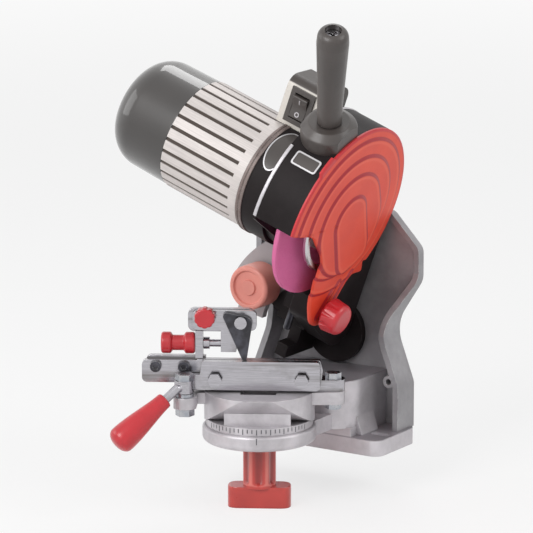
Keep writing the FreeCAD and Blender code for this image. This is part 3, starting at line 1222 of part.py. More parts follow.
def vise_bolts():
    """Bolt that the cam lever turns on, and bolt at the right end of the rails."""
    lever = rod_z(LEVER_BOLT_R, EAR_LOW, LEVER_Z0 + LEVER_H + 1, LEVER_U, LEVER_V)
    lever_head = hexagon(13, 0, 5, Vector(LEVER_U, LEVER_V, LEVER_Z0 + LEVER_H + GAP), Z_AXIS)
    lever_nut = hexagon(13, -6, 0, Vector(LEVER_U, LEVER_V, EAR_LOW), Z_AXIS)
    washer = rod_z(7, CRADLE_TOP - 1, LEVER_Z0 - GAP, LEVER_U, LEVER_V)
    end = rod_z(SCREW_R, EAR_LOW, CRADLE_TOP + EAR_T + 1, EAR_U, 0)
    end_head = hexagon(11, 0, 5, Vector(EAR_U, 0, CRADLE_TOP + EAR_T), Z_AXIS)
    end_nut = hexagon(11, -5, 0, Vector(EAR_U, 0, EAR_LOW), Z_AXIS)
    return Part.makeCompound([swivel(fused([lever, lever_head, lever_nut, washer])),
                              swivel(fused([end, end_head, end_nut]))])


def vise_screws():
    """Screws of the rear jaw's foot and of the chain stop's bracket."""
    screws = []
    for side in (-1, 1):
        seat = Vector(side * FOOT_SCREW_U, FOOT_SCREW_V, CRADLE_TOP + FOOT_T)
        screws.append(swivel(cap_screw(SCREW_R, FOOT_SCREW_LEN, seat, Z_AXIS * -1)))
    for u in BRACKET_SCREW_U:
        seat = Vector(u, REAR_FRONT, BRACKET_SCREW_Z)
        screws.append(swivel(cap_screw(SCREW_R, JAW_T + BRACKET_T, seat, Y_AXIS)))
    return Part.makeCompound(screws)


def clamp_lever():
    """Cam hub with a bent rod for the grip."""
    angle = math.radians(CAM_AT)
    cam_r = LEVER_R - CAM_OFFSET * math.sin(angle)
    cam = rod_z(cam_r, LEVER_Z0, LEVER_Z0 + LEVER_H, LEVER_U + CAM_OFFSET * math.cos(angle),
                LEVER_V + CAM_OFFSET * math.sin(angle))
    middle = LEVER_Z0 + LEVER_H / 2 - 0.5
    along = GRIP_START.sub(GRIP_END)
    knee = GRIP_START.add(along * ((middle - GRIP_START.z) / along.z))
    arm = rod_between(ROD_R, Vector(LEVER_U, LEVER_V, middle), knee)
    rod = rod_between(ROD_R, knee, GRIP_START.sub(along * 0.55))
    body = fused([cam, arm, rod, Part.makeSphere(ROD_R, knee)])
    bore = rod_z(LEVER_BOLT_R + RUN, LEVER_Z0 - 1, LEVER_Z0 + LEVER_H + 1, LEVER_U, LEVER_V)
    return swivel(body.cut(bore))


def lever_grip():
    """Tapered red grip on the lever's rod."""
    along = GRIP_END.sub(GRIP_START)
    long = along.Length
    body = turned([(0, 0, 0), (0, GRIP_R_START, 2), (long, GRIP_R_END, 6), (long, 0, 0)], GRIP_START, along)
    bore = rod_between(ROD_R, GRIP_START.sub(along * 0.05), GRIP_START.add(along * 0.55))
    return swivel(body.cut(bore))


# ================================================================= chain stop
def stop_bracket():
    """Plate behind the rear jaw that carries the chain stop above the rails."""
    plate = slab([(-TAIL_U + 3, TAIL_LOW + 1, 4), (RISER_U1 + 2, TAIL_LOW + 1, 0),
                  (RISER_U1 + 2, PLATE_TOP, 0), (-TAIL_U + 3, PLATE_TOP, 4)], "xz", REAR_BACK, BRACKET_BACK)
    riser = box(RISER_U0, RISER_U1, REAR_BACK, BRACKET_BACK, PLATE_TOP - 1, RAIL_LOW + 1)
    lug = box(RISER_U0, RISER_U1, SLIDE_FRONT, REAR_BACK + 1, RAIL_Z + GAP, SLIDE_LOW - 0.5)
    rail = slab([(-56, RAIL_LOW, 5), (-4, RAIL_LOW, 5), (-4, RAIL_HIGH, 5), (-56, RAIL_HIGH, 5)],
                "xz", REAR_BACK, BRACKET_BACK)
    body = fused([plate, riser, lug, rail])
    cuts = [rod_x(STOP_SCREW_R + RUN, RISER_U0 - 1, RISER_U1 + 1, STOP_SCREW_V, STOP_SCREW_Z),
            rod_y(SCREW_R + RUN, REAR_BACK - 1, BRACKET_BACK + 1, STOP_LOCK_U, STOP_LOCK_Z)]
    for u in BRACKET_SCREW_U:
        cuts.append(rod_y(SCREW_R, REAR_BACK - 1, BRACKET_BACK + 1, u, BRACKET_SCREW_Z))
    return swivel(body.cut(cuts))


def stop_adjust_screw():
    """Screw that feeds the slide along the rails."""
    screw = rod_x(STOP_SCREW_R, SPOOL_LEFT + 1, STOP_SCREW_END, STOP_SCREW_V, STOP_SCREW_Z)
    collar = rod_x(STOP_COLLAR_R, RISER_U1 + GAP, RISER_U1 + 5, STOP_SCREW_V, STOP_SCREW_Z)
    return swivel(fused([screw, collar]))


def stop_adjust_knob():
    """Red spool-shaped knob on the feed screw."""
    long = SPOOL_RIGHT - SPOOL_LEFT
    waist_r = SPOOL_R - SPOOL_WAIST
    body = turned([(0, 0, 0), (0, SPOOL_R, 2), (SPOOL_RIM, SPOOL_R, 1.5), (SPOOL_RIM + 1.5, waist_r, 1),
                   (long - SPOOL_RIM - 1.5, waist_r, 1), (long - SPOOL_RIM, SPOOL_R, 1.5),
                   (long, SPOOL_R, 2), (long, 0, 0)],
                  Vector(SPOOL_LEFT, STOP_SCREW_V, STOP_SCREW_Z), X_AXIS)
    bore = rod_x(STOP_SCREW_R, SPOOL_LEFT + 1, SPOOL_RIGHT + 1, STOP_SCREW_V, STOP_SCREW_Z)
    return swivel(body.cut(bore))


def stop_slide():
    """Slide on the bracket's rail, with a lug threaded on the feed screw."""
    plate = slab([(-52, SLIDE_LOW, 4), (-2, SLIDE_LOW, 4), (-2, SLIDE_LOW + 16, 4), (-52, SLIDE_LOW + 16, 4)],
                 "xz", SLIDE_FRONT, SLIDE_BACK)
    drop = box(DROP_U0, DROP_U1, SLIDE_FRONT, SLIDE_BACK, STOP_SCREW_Z - 6, SLIDE_LOW + 1)
    lug = box(DROP_U0, DROP_U1, SLIDE_FRONT, BRACKET_BACK, STOP_SCREW_Z - 6, RAIL_LOW - GAP)
    body = fused([plate, drop, lug])
    slot_face = [(STOP_LOCK_U - SLIDE_TRAVEL, SCREW_R + LOOSE), (STOP_LOCK_U + SLIDE_TRAVEL, SCREW_R + LOOSE)]
    cuts = [rod_x(STOP_SCREW_R + RUN, DROP_U0 - 1, DROP_U1 + 1, STOP_SCREW_V, STOP_SCREW_Z),
            box(slot_face[0][0], slot_face[1][0], SLIDE_FRONT - 1, SLIDE_BACK + 1,
                STOP_LOCK_Z - SCREW_R - LOOSE, STOP_LOCK_Z + SCREW_R + LOOSE),
            rod_y(PAWL_PIN_R, SLIDE_FRONT - 1, SLIDE_BACK + 1, PAWL_U, PAWL_Z)]
    for u, radius in slot_face:
        cuts.append(rod_y(radius, SLIDE_FRONT - 1, SLIDE_BACK + 1, u, STOP_LOCK_Z))
    return swivel(body.cut(cuts))


def stop_pawl():
    """Pawl that drops behind a chain tooth."""
    tip_z = RAIL_Z + 0.5
    body = slab([(PAWL_U + 1, tip_z, 1), (PAWL_U + 4.5, tip_z, 1), (PAWL_U + 9.5, PAWL_Z + 3, 6),
                 (PAWL_U - 16, PAWL_Z + 8, 3)], "xz", PAWL_FRONT, PAWL_BACK)
    return swivel(body.cut(rod_y(PAWL_PIN_R + RUN, PAWL_FRONT - 1, PAWL_BACK + 1, PAWL_U, PAWL_Z)))


def pawl_pin():
    """Pin in the slide that the pawl turns on."""
    head_back = PAWL_FRONT - PAWL_SPRING_ROOM
    pin = rod_y(PAWL_PIN_R, head_back - 1, SLIDE_BACK, PAWL_U, PAWL_Z)
    head = rod_y(PAWL_PIN_R + 2.3, head_back - 2, head_back, PAWL_U, PAWL_Z)
    return swivel(fused([pin, head]))


def pawl_spring():
    """Small coil spring of two turns between the pin's head and the pawl."""
    turn_r = PAWL_PIN_R + PAWL_WIRE_R + 0.6
    start = PAWL_FRONT - GAP - PAWL_WIRE_R
    length = PAWL_SPRING_ROOM - GAP - 2 * PAWL_WIRE_R - RUN
    return swivel(coil(turn_r, PAWL_WIRE_R, length / 2, length, Vector(PAWL_U, start, PAWL_Z), Y_AXIS * -1))


def stop_lock_knob():
    """Knob with a screw that locks the slide."""
    seat = SLIDE_FRONT - GAP
    centre = Vector(STOP_LOCK_U, seat, STOP_LOCK_Z)
    body = turned([(0, 0, 0), (0, 5.5, 0), (2, STOP_LOCK_R, 0.5), (10.5, STOP_LOCK_R, 2), (10.5, 0, 0)],
                  centre, Y_AXIS * -1)
    body = fluted(body, 10, STOP_LOCK_R + 0.8, 1.6, centre, Y_AXIS * -1, 10.5)
    shank = rod_y(SCREW_R, seat - 2, BRACKET_BACK, STOP_LOCK_U, STOP_LOCK_Z)
    return swivel(fused([body, shank]))


# ================================================================= export
PIECES = [
    base_casting, column_casting, column_screws, tilt_scale_plate, tilt_lock_stud, tilt_lock_knob,
    tilt_bracket, tilt_pivot_bolt, swing_bushes, return_spring, depth_stop_screw,
    head_arm, swing_pin, wheel_guard, wheel_cover, cover_stud, cover_knob,
    handle_collar, handle_grip, handle_rod,
    motor_flange, motor_housing, motor_end_cap, rear_bell, bearings, stator, head_screws,
    rotor_core, rotor_shaft, cooling_fan, grinding_wheel, blotters, inner_flange, outer_flange, wheel_nut,
    switch_box, switch_bezel, switch_rocker, cord_gland,
    turntable, vise_lock_stud, vise_lock_knob, vise_cradle, rear_jaw, front_jaw, guide_pins, jaw_springs,
    vise_bolts, vise_screws, clamp_lever, lever_grip,
    stop_bracket, stop_adjust_screw, stop_adjust_knob, stop_slide, stop_pawl, pawl_pin, pawl_spring,
    stop_lock_knob,
]

os.makedirs("parts", exist_ok=True)
for piece in PIECES:
    piece().exportStep("parts/" + piece.__name__ + ".step")
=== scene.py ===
"""Looks of a bench chain sharpener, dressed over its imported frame."""
import logging
import math
from dataclasses import dataclass
from enum import Enum
from typing import Any, Callable, Iterable, Optional, Protocol, Sequence, Union

import bmesh
import bpy
from mathutils import Matrix, Vector


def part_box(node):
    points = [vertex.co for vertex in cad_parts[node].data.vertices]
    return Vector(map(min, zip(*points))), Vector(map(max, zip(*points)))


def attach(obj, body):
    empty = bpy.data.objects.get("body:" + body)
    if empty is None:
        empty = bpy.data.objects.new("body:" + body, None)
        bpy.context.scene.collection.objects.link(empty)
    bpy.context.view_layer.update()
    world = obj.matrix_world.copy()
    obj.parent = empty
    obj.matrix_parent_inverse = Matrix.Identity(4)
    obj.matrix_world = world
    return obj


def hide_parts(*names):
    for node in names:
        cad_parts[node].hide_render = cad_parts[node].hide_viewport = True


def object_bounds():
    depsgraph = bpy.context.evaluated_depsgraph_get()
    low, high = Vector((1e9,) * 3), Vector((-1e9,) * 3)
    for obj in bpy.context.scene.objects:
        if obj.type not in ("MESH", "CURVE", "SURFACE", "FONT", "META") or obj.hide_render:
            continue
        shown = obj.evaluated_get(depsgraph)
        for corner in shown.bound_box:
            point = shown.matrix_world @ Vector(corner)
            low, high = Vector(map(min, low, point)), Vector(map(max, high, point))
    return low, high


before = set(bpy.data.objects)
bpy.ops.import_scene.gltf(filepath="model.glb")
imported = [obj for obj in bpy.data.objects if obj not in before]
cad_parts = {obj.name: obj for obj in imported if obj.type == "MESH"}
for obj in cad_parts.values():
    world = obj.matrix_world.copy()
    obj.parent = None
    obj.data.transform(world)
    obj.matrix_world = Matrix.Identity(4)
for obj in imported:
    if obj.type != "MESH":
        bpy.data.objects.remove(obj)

CAD_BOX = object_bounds()
LOG = logging.getLogger("sharpener")
MM = 0.001

Colour = tuple[float, float, float]
Span = tuple[float, float]
Spot = tuple[float, float, float]
Corner = tuple[float, float, float]     # x, y, and the length eased off each side
Lift = Callable[[Vector, float], Sequence[float]]

# Places of the frame, in millimetres, that the added pieces are built from.
LEAN_Z = 85.0             # height of the tilt axis
HEAD_LEAN = 20.0          # degrees about the Y axis
VISE_Y = -84.0            # turntable axis
VISE_TURN = 30.0          # degrees about the turntable axis
WHEEL_Y = -48.0
WHEEL_Z = 210.5           # wheel centre before the lean
GUARD_R = 76.2
GUARD_LEFT = -23.0        # along the wheel's axis
FLANGE_LEFT = -58.3
FLANGE_R = 47.0
COVER_FACE = 13.0
TABLE_R = 42.0
TABLE_TOP = 38.0

# The curve between screen values and linear light.
SCREEN_MOST = 255
SCREEN_KNEE = 0.04045
SCREEN_SLOPE = 12.92
SCREEN_SHIFT = 0.055
SCREEN_POWER = 2.4


def tint(red: int, green: int, blue: int) -> Colour:
    """Linear colour of an 8-bit screen colour.

    Args:
        red, green, blue: screen values from 0 to 255.
    Returns:
        The same colour in linear light.
    """
    def linear(value: int) -> float:
        """One channel in linear light.

        Args:
            value: screen value from 0 to 255.
        Returns:
            The channel, from 0 to 1.
        """
        share = value / SCREEN_MOST
        if share < SCREEN_KNEE:
            return share / SCREEN_SLOPE
        return ((share + SCREEN_SHIFT) / (1 + SCREEN_SHIFT)) ** SCREEN_POWER
    return (linear(red), linear(green), linear(blue))


def shaded(colour: Colour, times: float, plus: float = 0.0) -> Colour:
    """Colour made darker or paler, with no channel past 1."""
    return tuple(min(1.0, times * part + plus) for part in colour)


class Place(Enum):
    """Local frames that pieces are built in, before they take their place."""

    HEAD = "head"         # upright, before the lean
    VISE = "vise"         # about the turntable's axis, before the turn

    def matrix(self) -> Matrix:
        """Way from this frame to the row frame.

        Returns:
            Matrix from millimetres here to metres there.
        """
        scale = Matrix.Scale(MM, 4)
        if self is Place.HEAD:
            pivot = Matrix.Translation((0, 0, LEAN_Z))
            lean = Matrix.Rotation(math.radians(HEAD_LEAN), 4, "Y")
            return scale @ pivot @ lean @ pivot.inverted()
        turn = Matrix.Rotation(math.radians(VISE_TURN), 4, "Z")
        return scale @ Matrix.Translation((0, VISE_Y, 0)) @ turn


# ---------------------------------------------------------------- shader maths
class Wire:
    """One output socket; arithmetic on it adds Math nodes."""

    def __init__(self, tree: "Tree", socket: bpy.types.NodeSocket) -> None:
        """Keeps the socket and the tree that it belongs to."""
        self.tree = tree
        self.socket = socket

    def _math(self, operation: str, first: "Value", second: "Value" = 0.0) -> "Wire":
        """Math node on two values."""
        return self.tree.node("ShaderNodeMath", {"operation": operation}, {0: first, 1: second})

    def __add__(self, other: "Value") -> "Wire":
        """Sum."""
        return self._math("ADD", self, other)

    def __radd__(self, other: "Value") -> "Wire":
        """Sum, from the right."""
        return self._math("ADD", other, self)

    def __sub__(self, other: "Value") -> "Wire":
        """Difference."""
        return self._math("SUBTRACT", self, other)

    def __rsub__(self, other: "Value") -> "Wire":
        """Difference, from the right."""
        return self._math("SUBTRACT", other, self)

    def __mul__(self, other: "Value") -> "Wire":
        """Product."""
        return self._math("MULTIPLY", self, other)

    def __rmul__(self, other: "Value") -> "Wire":
        """Product, from the right."""
        return self._math("MULTIPLY", other, self)

    def __truediv__(self, other: "Value") -> "Wire":
        """Quotient."""
        return self._math("DIVIDE", self, other)

    def __rtruediv__(self, other: "Value") -> "Wire":
        """Quotient, from the right."""
        return self._math("DIVIDE", other, self)

    def other(self, output: Union[int, str]) -> "Wire":
        """Another output of the same node."""
        return Wire(self.tree, self.socket.node.outputs[output])

    def most(self, other: "Value") -> "Wire":
        """The larger of two values."""
        return self._math("MAXIMUM", self, other)

    def least(self, other: "Value") -> "Wire":
        """The smaller of two values."""
        return self._math("MINIMUM", self, other)

    def turned(self, across: "Value") -> "Wire":
        """Angle in degrees, from 0 to 360, of this rise over a distance across."""
        return (self._math("ARCTAN2", self, across) * (180.0 / math.pi)).cycle(360.0)

    def wave(self) -> "Wire":
        """Sine of the value, moved to the range from 0 to 1."""
        return self._math("SINE", self) * 0.5 + 0.5

    def swing(self, width: float) -> "Wire":
        """A value from 0 to 1, scaled to swing about zero over a width."""
        return (self - 0.5) * width

    def size(self) -> "Wire":
        """Distance from zero."""
        return self._math("ABSOLUTE", self)

    def root(self) -> "Wire":
        """Square root."""
        return self._math("SQRT", self)

    def cycle(self, length: float) -> "Wire":
        """Remainder after whole lengths, never negative."""
        return self._math("FLOORED_MODULO", self, length)

    def ease(self, low: float, high: float) -> "Wire":
        """Smooth step from 0 at low to 1 at high.

        Args:
            low: value that gives 0.
            high: value that gives 1; it may be the smaller of the two.
        Returns:
            The eased value.
        """
        return self.tree.node("ShaderNodeMapRange", {"interpolation_type": "SMOOTHSTEP"},
                              {"Value": self, "From Min": low, "From Max": high})

    def between(self, low: float, high: float, soft: float) -> "Wire":
        """1 from low to high, falling to 0 over a soft margin outside them."""
        return self.ease(low - soft, low) * self.ease(high + soft, high)


Value = Union[Wire, float]


class Tree:
    """Node tree that is filled by one method."""

    def __init__(self, tree: bpy.types.NodeTree) -> None:
        """Empties the tree."""
        self.tree = tree
        self.tree.nodes.clear()

    def node(self, kind: str, settings: dict[str, Any], sockets: dict[Any, Any],
             output: Union[int, str] = 0) -> Wire:
        """Adds a node.

        Args:
            kind: the node's type.
            settings: properties that are set first.
            sockets: values or wires for its inputs, by name or number.
            output: which output to return.
        Returns:
            The chosen output.
        """
        made = self.tree.nodes.new(kind)
        for name, value in settings.items():
            setattr(made, name, value)
        for key, value in sockets.items():
            self.feed(made.inputs[key], value)
        return Wire(self, made.outputs[output])

    def sink(self, kind: str, shader: Wire) -> None:
        """Adds an output node and feeds it the shader."""
        made = self.tree.nodes.new(kind)
        self.feed(made.inputs["Surface"], shader)

    def feed(self, socket: bpy.types.NodeSocket, value: Any) -> None:
        """Links a wire to a socket, or sets a plain value on it.

        Args:
            socket: the input.
            value: a wire, a number, a place, or a colour with or without its alpha.
        """
        if isinstance(value, Wire):
            self.tree.links.new(value.socket, socket)
        elif socket.type == "RGBA" and len(value) == 3:
            socket.default_value = (*value, 1.0)
        else:
            socket.default_value = value

    def seen(self) -> Wire:
        """1 for camera, glossy and transmission rays."""
        path = self.node("ShaderNodeLightPath", {}, {}, "Is Camera Ray")
        return path.most(path.other("Is Glossy Ray")).most(path.other("Is Transmission Ray"))


class Recipe(Tree):
    """Node tree of one finish, with its Principled shader."""

    SAMPLES = 4                         # rays of the edge and corner masks
    EDGE_MASK: Span = (0.02, 0.22)
    CORNER_MASK: Span = (0.25, 0.85)

    def __init__(self, name: str) -> None:
        """Makes a material with its shader.

        Args:
            name: the material's name.
        """
        self.material = bpy.data.materials.new(name)
        self.material.use_nodes = True
        super().__init__(self.material.node_tree)
        shader = self.node("ShaderNodeBsdfPrincipled", {}, {})
        self.shader = shader.socket.node
        self.sink("ShaderNodeOutputMaterial", shader)
        self.place = self.node("ShaderNodeTexCoord", {}, {}, "Object")

    def surface(self, **sockets: Any) -> None:
        """Feeds the shader; underscores in the names stand for spaces."""
        for name, value in sockets.items():
            self.feed(self.shader.inputs[name.replace("_", " ")], value)

    def blend(self, factor: Value, low: Any, high: Any) -> Wire:
        """Colour between low and high, by the share of high."""
        return self.node("ShaderNodeMix", {"data_type": "RGBA"}, {0: factor, 6: low, 7: high}, 2)

    def noise(self, cells: float, detail: float = 3.0, rough: float = 0.5,
              at: Optional[Wire] = None) -> Wire:
        """Cloudy value around one half.

        Args:
            cells: cells to the metre.
            detail: octaves.
            rough: weight of the finer octaves.
            at: place to read it at.
        Returns:
            The value, from 0 to 1.
        """
        return self.node("ShaderNodeTexNoise", {}, {"Vector": at or self.place, "Scale": cells,
                                                    "Detail": detail, "Roughness": rough})

    def grit(self, cells: float) -> Wire:
        """Distance to the nearest of many scattered points, in cells."""
        return self.node("ShaderNodeTexVoronoi", {}, {"Vector": self.place, "Scale": cells},
                         "Distance")

    def stretch(self, factors: Spot, at: Optional[Wire] = None) -> Wire:
        """Place with each axis scaled, for streaks."""
        return self.node("ShaderNodeVectorMath", {"operation": "MULTIPLY"},
                         {0: at or self.place, 1: factors})

    def parts(self, at: Wire) -> tuple[Wire, Wire, Wire]:
        """The three coordinates of a place."""
        first = self.node("ShaderNodeSeparateXYZ", {}, {0: at})
        return first, first.other(1), first.other(2)

    def local(self, place: Place) -> Wire:
        """Object place turned back into a local frame.

        Args:
            place: the local frame.
        Returns:
            The place in metres, measured from the wheel's centre for the head and from the
            turntable's axis for the vise.
        """
        if place is Place.HEAD:
            axis, pivot, degrees = "Y_AXIS", (0, 0, LEAN_Z * MM), HEAD_LEAN
            origin = (0, WHEEL_Y * MM, WHEEL_Z * MM)
        else:
            axis, pivot, degrees = "Z_AXIS", (0, VISE_Y * MM, 0), VISE_TURN
            origin = pivot
        turned = self.node("ShaderNodeVectorRotate", {"rotation_type": axis},
                           {"Vector": self.place, "Center": pivot,
                            "Angle": -math.radians(degrees)})
        return self.node("ShaderNodeVectorMath", {"operation": "SUBTRACT"},
                         {0: turned, 1: origin})

    def about_wheel(self) -> tuple[Wire, Wire, Wire]:
        """Distance along the wheel's axis, degrees from the rear over the top, and radius."""
        along, across, up = self.parts(self.local(Place.HEAD))
        return along, up.turned(across), (across * across + up * up).root()

    def rounded(self, radius: float) -> tuple[Wire, Wire]:
        """Normal with its sharp edges rounded, and a mask of those edges.

        Args:
            radius: rounding in metres.
        Returns:
            The normal and the mask, which is 1 on an edge.
        """
        soft = self.node("ShaderNodeBevel", {"samples": self.SAMPLES}, {"Radius": radius})
        hard = self.node("ShaderNodeNewGeometry", {}, {}, "Normal")
        same = self.node("ShaderNodeVectorMath", {"operation": "DOT_PRODUCT"},
                         {0: soft, 1: hard}, "Value")
        return soft, (1.0 - same).ease(*self.EDGE_MASK)

    def shelter(self, reach: float) -> Wire:
        """Mask of sheltered corners, 1 deep inside them."""
        open_air = self.node("ShaderNodeAmbientOcclusion", {"samples": self.SAMPLES},
                             {"Distance": reach}, "AO")
        return (1.0 - open_air).ease(*self.CORNER_MASK)

    def bump(self, height: Wire, depth: float, normal: Optional[Wire] = None) -> Wire:
        """Normal bent by a height.

        Args:
            height: height from 0 to 1.
            depth: metres that a height of 1 stands for.
            normal: normal that is bent.
        Returns:
            The bent normal.
        """
        sockets: dict[str, Any] = {"Height": height, "Distance": depth, "Strength": 1.0}
        if normal is not None:
            sockets["Normal"] = normal
        return self.node("ShaderNodeBump", {}, sockets)


# ---------------------------------------------------------------- finishes
# Noise and grit are in cells to the metre, and lengths in metres. A mask is the pair of values
# where it begins and is whole, and a share is how far a blend goes.
ALONG_X: Spot = (0.03, 1.0, 1.0)        # stretch of fine marks that run along X
BARE_EDGE: Colour = (0.9, 0.9, 0.9)     # metal where an edge is rubbed


class Finish:
    """Look of one slot of the record."""

    def make(self, name: str) -> bpy.types.Material:
        """Builds the material.

        Args:
            name: its name, which is the slot's.
        Returns:
            The material.
        """
        recipe = Recipe(name)
        self.paint(recipe)
        return recipe.material

    def paint(self, recipe: Recipe) -> None:
        """Feeds the recipe's shader."""
        raise NotImplementedError


@dataclass(frozen=True)
class Casting(Finish):
    """Cast metal, bare or painted: pebbled skin, mottled colour, rubbed edges, painted shade in
    corners.
    """

    colour: Colour
    bare: Colour
    metallic: float
    roughness: float
    pebble: float = 750.0
    cloud: float = 38.0
    rub: float = 210.0
    relief: float = 0.00016
    wear: float = 0.6
    # strength of the painted shade in sheltered corners
    grime: float = 0.5
    edge: float = 0.0007
    corner: float = 0.007
    mottle: Span = (0.86, 1.18)    # shares of the colour that it varies between
    lightest: float = 0.004        # added where it is palest
    painted_shade: float = 0.45             # share of the colour in the painted shade of corners
    cloud_mask: Span = (0.3, 0.72)
    rub_mask: Span = (0.35, 0.62)
    cloud_rough: float = 0.22      # roughness that it adds, as in all finishes
    skin_rough: float = 0.12
    corner_rough: float = 0.15
    cloud_height: float = 0.9      # share of the relief, as in all finishes
    skin_height: float = 0.75
    gloss: float = 0.5             # level of the plain reflection

    def patches(self, recipe: Recipe, colour: Wire) -> Wire:
        """Colour with the places that differ from the rest; none here."""
        return colour

    def paint(self, recipe: Recipe) -> None:
        """Feeds the recipe's shader.

        Args:
            recipe: the material's node tree.
        """
        skin = recipe.noise(self.pebble, detail=4.0, rough=0.6)
        cloud = recipe.noise(self.cloud, detail=4.0, rough=0.6)
        normal, edge = recipe.rounded(self.edge)
        corner = recipe.shelter(self.corner)
        rubbed = edge * (1.0 - corner) * recipe.noise(self.rub).ease(*self.rub_mask) * self.wear
        dark, pale = self.mottle
        colour = recipe.blend(cloud.ease(*self.cloud_mask), shaded(self.colour, dark),
                              shaded(self.colour, pale, self.lightest))
        colour = self.patches(recipe, colour)
        # painted shade: sheltered corners are darkened towards a share of the colour
        colour = recipe.blend(corner * self.grime, colour, shaded(self.colour, self.painted_shade))
        colour = recipe.blend(rubbed, colour, self.bare)
        recipe.surface(
            Base_Color=colour,
            Metallic=rubbed * (1.0 - self.metallic) + self.metallic,
            Roughness=(self.roughness + cloud.swing(self.cloud_rough)
                       + skin.swing(self.skin_rough) + corner * self.corner_rough),
            Normal=recipe.bump(skin * self.skin_height + cloud * self.cloud_height,
                               self.relief, normal),
            Specular_IOR_Level=self.gloss)


@dataclass(frozen=True)
class BenchCasting(Casting):
    """Bare casting with painted shade on the tops of its ledge and bench flange."""

    painted_top_shade: Colour = (0.3, 0.28, 0.31)
    flange_top: float = 0.013      # height above the bench
    ledge_top: float = 0.058
    near: float = 0.0004           # a height this close to a top is on it
    soft: float = 0.0003
    front: float = -0.0275         # the ledge lies behind it
    front_soft: float = 0.001
    darker: float = 0.75

    def patches(self, recipe: Recipe, colour: Wire) -> Wire:
        """Paints shade on both tops.

        Args:
            recipe: the material's node tree.
            colour: the colour so far.
        Returns:
            The colour with the painted shade on both tops.
        """
        _, depth, up = recipe.parts(recipe.place)
        flange, ledge = (up.between(top - self.near, top + self.near, self.soft)
                         for top in (self.flange_top, self.ledge_top))
        behind = depth.ease(self.front - self.front_soft, self.front + self.front_soft)
        tops = (ledge * behind).most(flange)
        # painted shade on the upward tops of the ledge and the flange
        return recipe.blend(tops * self.darker, colour, self.painted_top_shade)


@dataclass(frozen=True)
class BlackCasting(Casting):
    """Black paint, with the bracket's slotted wing left bare."""

    wing: Colour = (0.42, 0.4, 0.41)
    wing_depth: Span = (-0.0083, -0.0017)
    wing_soft: float = 0.0002
    wing_radius: Span = (0.044, 0.046)     # about the tilt axis, as the edge of its foot
    wing_top: Span = (0.166, 0.165)
    wing_right: Span = (-0.0175, -0.0185)

    def patches(self, recipe: Recipe, colour: Wire) -> Wire:
        """Bares the wing, which stands in front of the column about the tilt axis.

        Args:
            recipe: the material's node tree.
            colour: the colour so far.
        Returns:
            The colour with the wing.
        """
        across, depth, up = recipe.parts(recipe.place)
        rise = up - LEAN_Z * MM
        radius = (across * across + rise * rise).root()
        wing = depth.between(*self.wing_depth, self.wing_soft) * radius.ease(*self.wing_radius)
        wing = wing * up.ease(*self.wing_top) * across.ease(*self.wing_right)
        return recipe.blend(wing, colour, self.wing)


@dataclass(frozen=True)
class Moulding(Finish):
    """Moulded plastic: faint orange peel, soft edges, fine scuffs, painted shade in corners."""

    colour: Colour
    deep: Colour
    roughness: float
    peel: float = 420.0
    cloud: float = 30.0
    scuff: float = 95.0
    scuff_stretch: Spot = (1.0, 3.0, 9.0)
    relief: float = 0.00004
    edge: float = 0.0005
    corner: float = 0.004
    coat: float = 0.0
    coat_roughness: float = 0.12
    coat_index: float = 1.5
    edge_shade: Span = (1.25, 0.015)   # times and plus of the colour on a rubbed edge
    cloud_mask: Span = (0.25, 0.75)
    scuff_mask: Span = (0.6, 0.75)
    cloud_share: float = 0.35
    corner_share: float = 0.8
    edge_share: float = 0.4
    scuff_rough: float = 0.18
    peel_rough: float = 0.1
    scuff_height: float = 0.4

    def patches(self, recipe: Recipe, colour: Wire) -> Wire:
        """Colour with the places that differ from the rest; none here."""
        return colour

    def paint(self, recipe: Recipe) -> None:
        """Feeds the recipe's shader.

        Args:
            recipe: the material's node tree.
        """
        peel = recipe.noise(self.peel, detail=2.0, rough=0.4)
        cloud = recipe.noise(self.cloud)
        streaks = recipe.stretch(self.scuff_stretch)
        scuff = recipe.noise(self.scuff, detail=5.0, rough=0.7, at=streaks)
        scuff = scuff.ease(*self.scuff_mask)
        normal, edge = recipe.rounded(self.edge)
        corner = recipe.shelter(self.corner)
        colour = recipe.blend(cloud.ease(*self.cloud_mask) * self.cloud_share, self.colour,
                              self.deep)
        colour = self.patches(recipe, colour)
        # painted shade: the deep colour in sheltered corners
        colour = recipe.blend(corner * self.corner_share, colour, self.deep)
        colour = recipe.blend(edge * (1.0 - corner) * self.edge_share, colour,
                              shaded(self.colour, *self.edge_shade))
        recipe.surface(
            Base_Color=colour,
            Roughness=self.roughness + scuff * self.scuff_rough + peel.swing(self.peel_rough),
            Normal=recipe.bump(peel + scuff * self.scuff_height, self.relief, normal),
            Coat_Weight=self.coat, Coat_Roughness=self.coat_roughness, Coat_IOR=self.coat_index)


@dataclass(frozen=True)
class SwitchBoxPlastic(Moulding):
    """Dark box with a pale front."""

    front: Colour = (0.7, 0.66, 0.62)
    front_at: float = -0.0048      # depth from the wheel's axis
    soft: float = 0.0003

    def patches(self, recipe: Recipe, colour: Wire) -> Wire:
        """Lightens the front.

        Args:
            recipe: the material's node tree.
            colour: the colour so far.
        Returns:
            The colour with the front.
        """
        _, depth, _ = recipe.parts(recipe.local(Place.HEAD))
        ahead = depth.ease(self.front_at + self.soft, self.front_at - self.soft)
        return recipe.blend(ahead, colour, self.front)


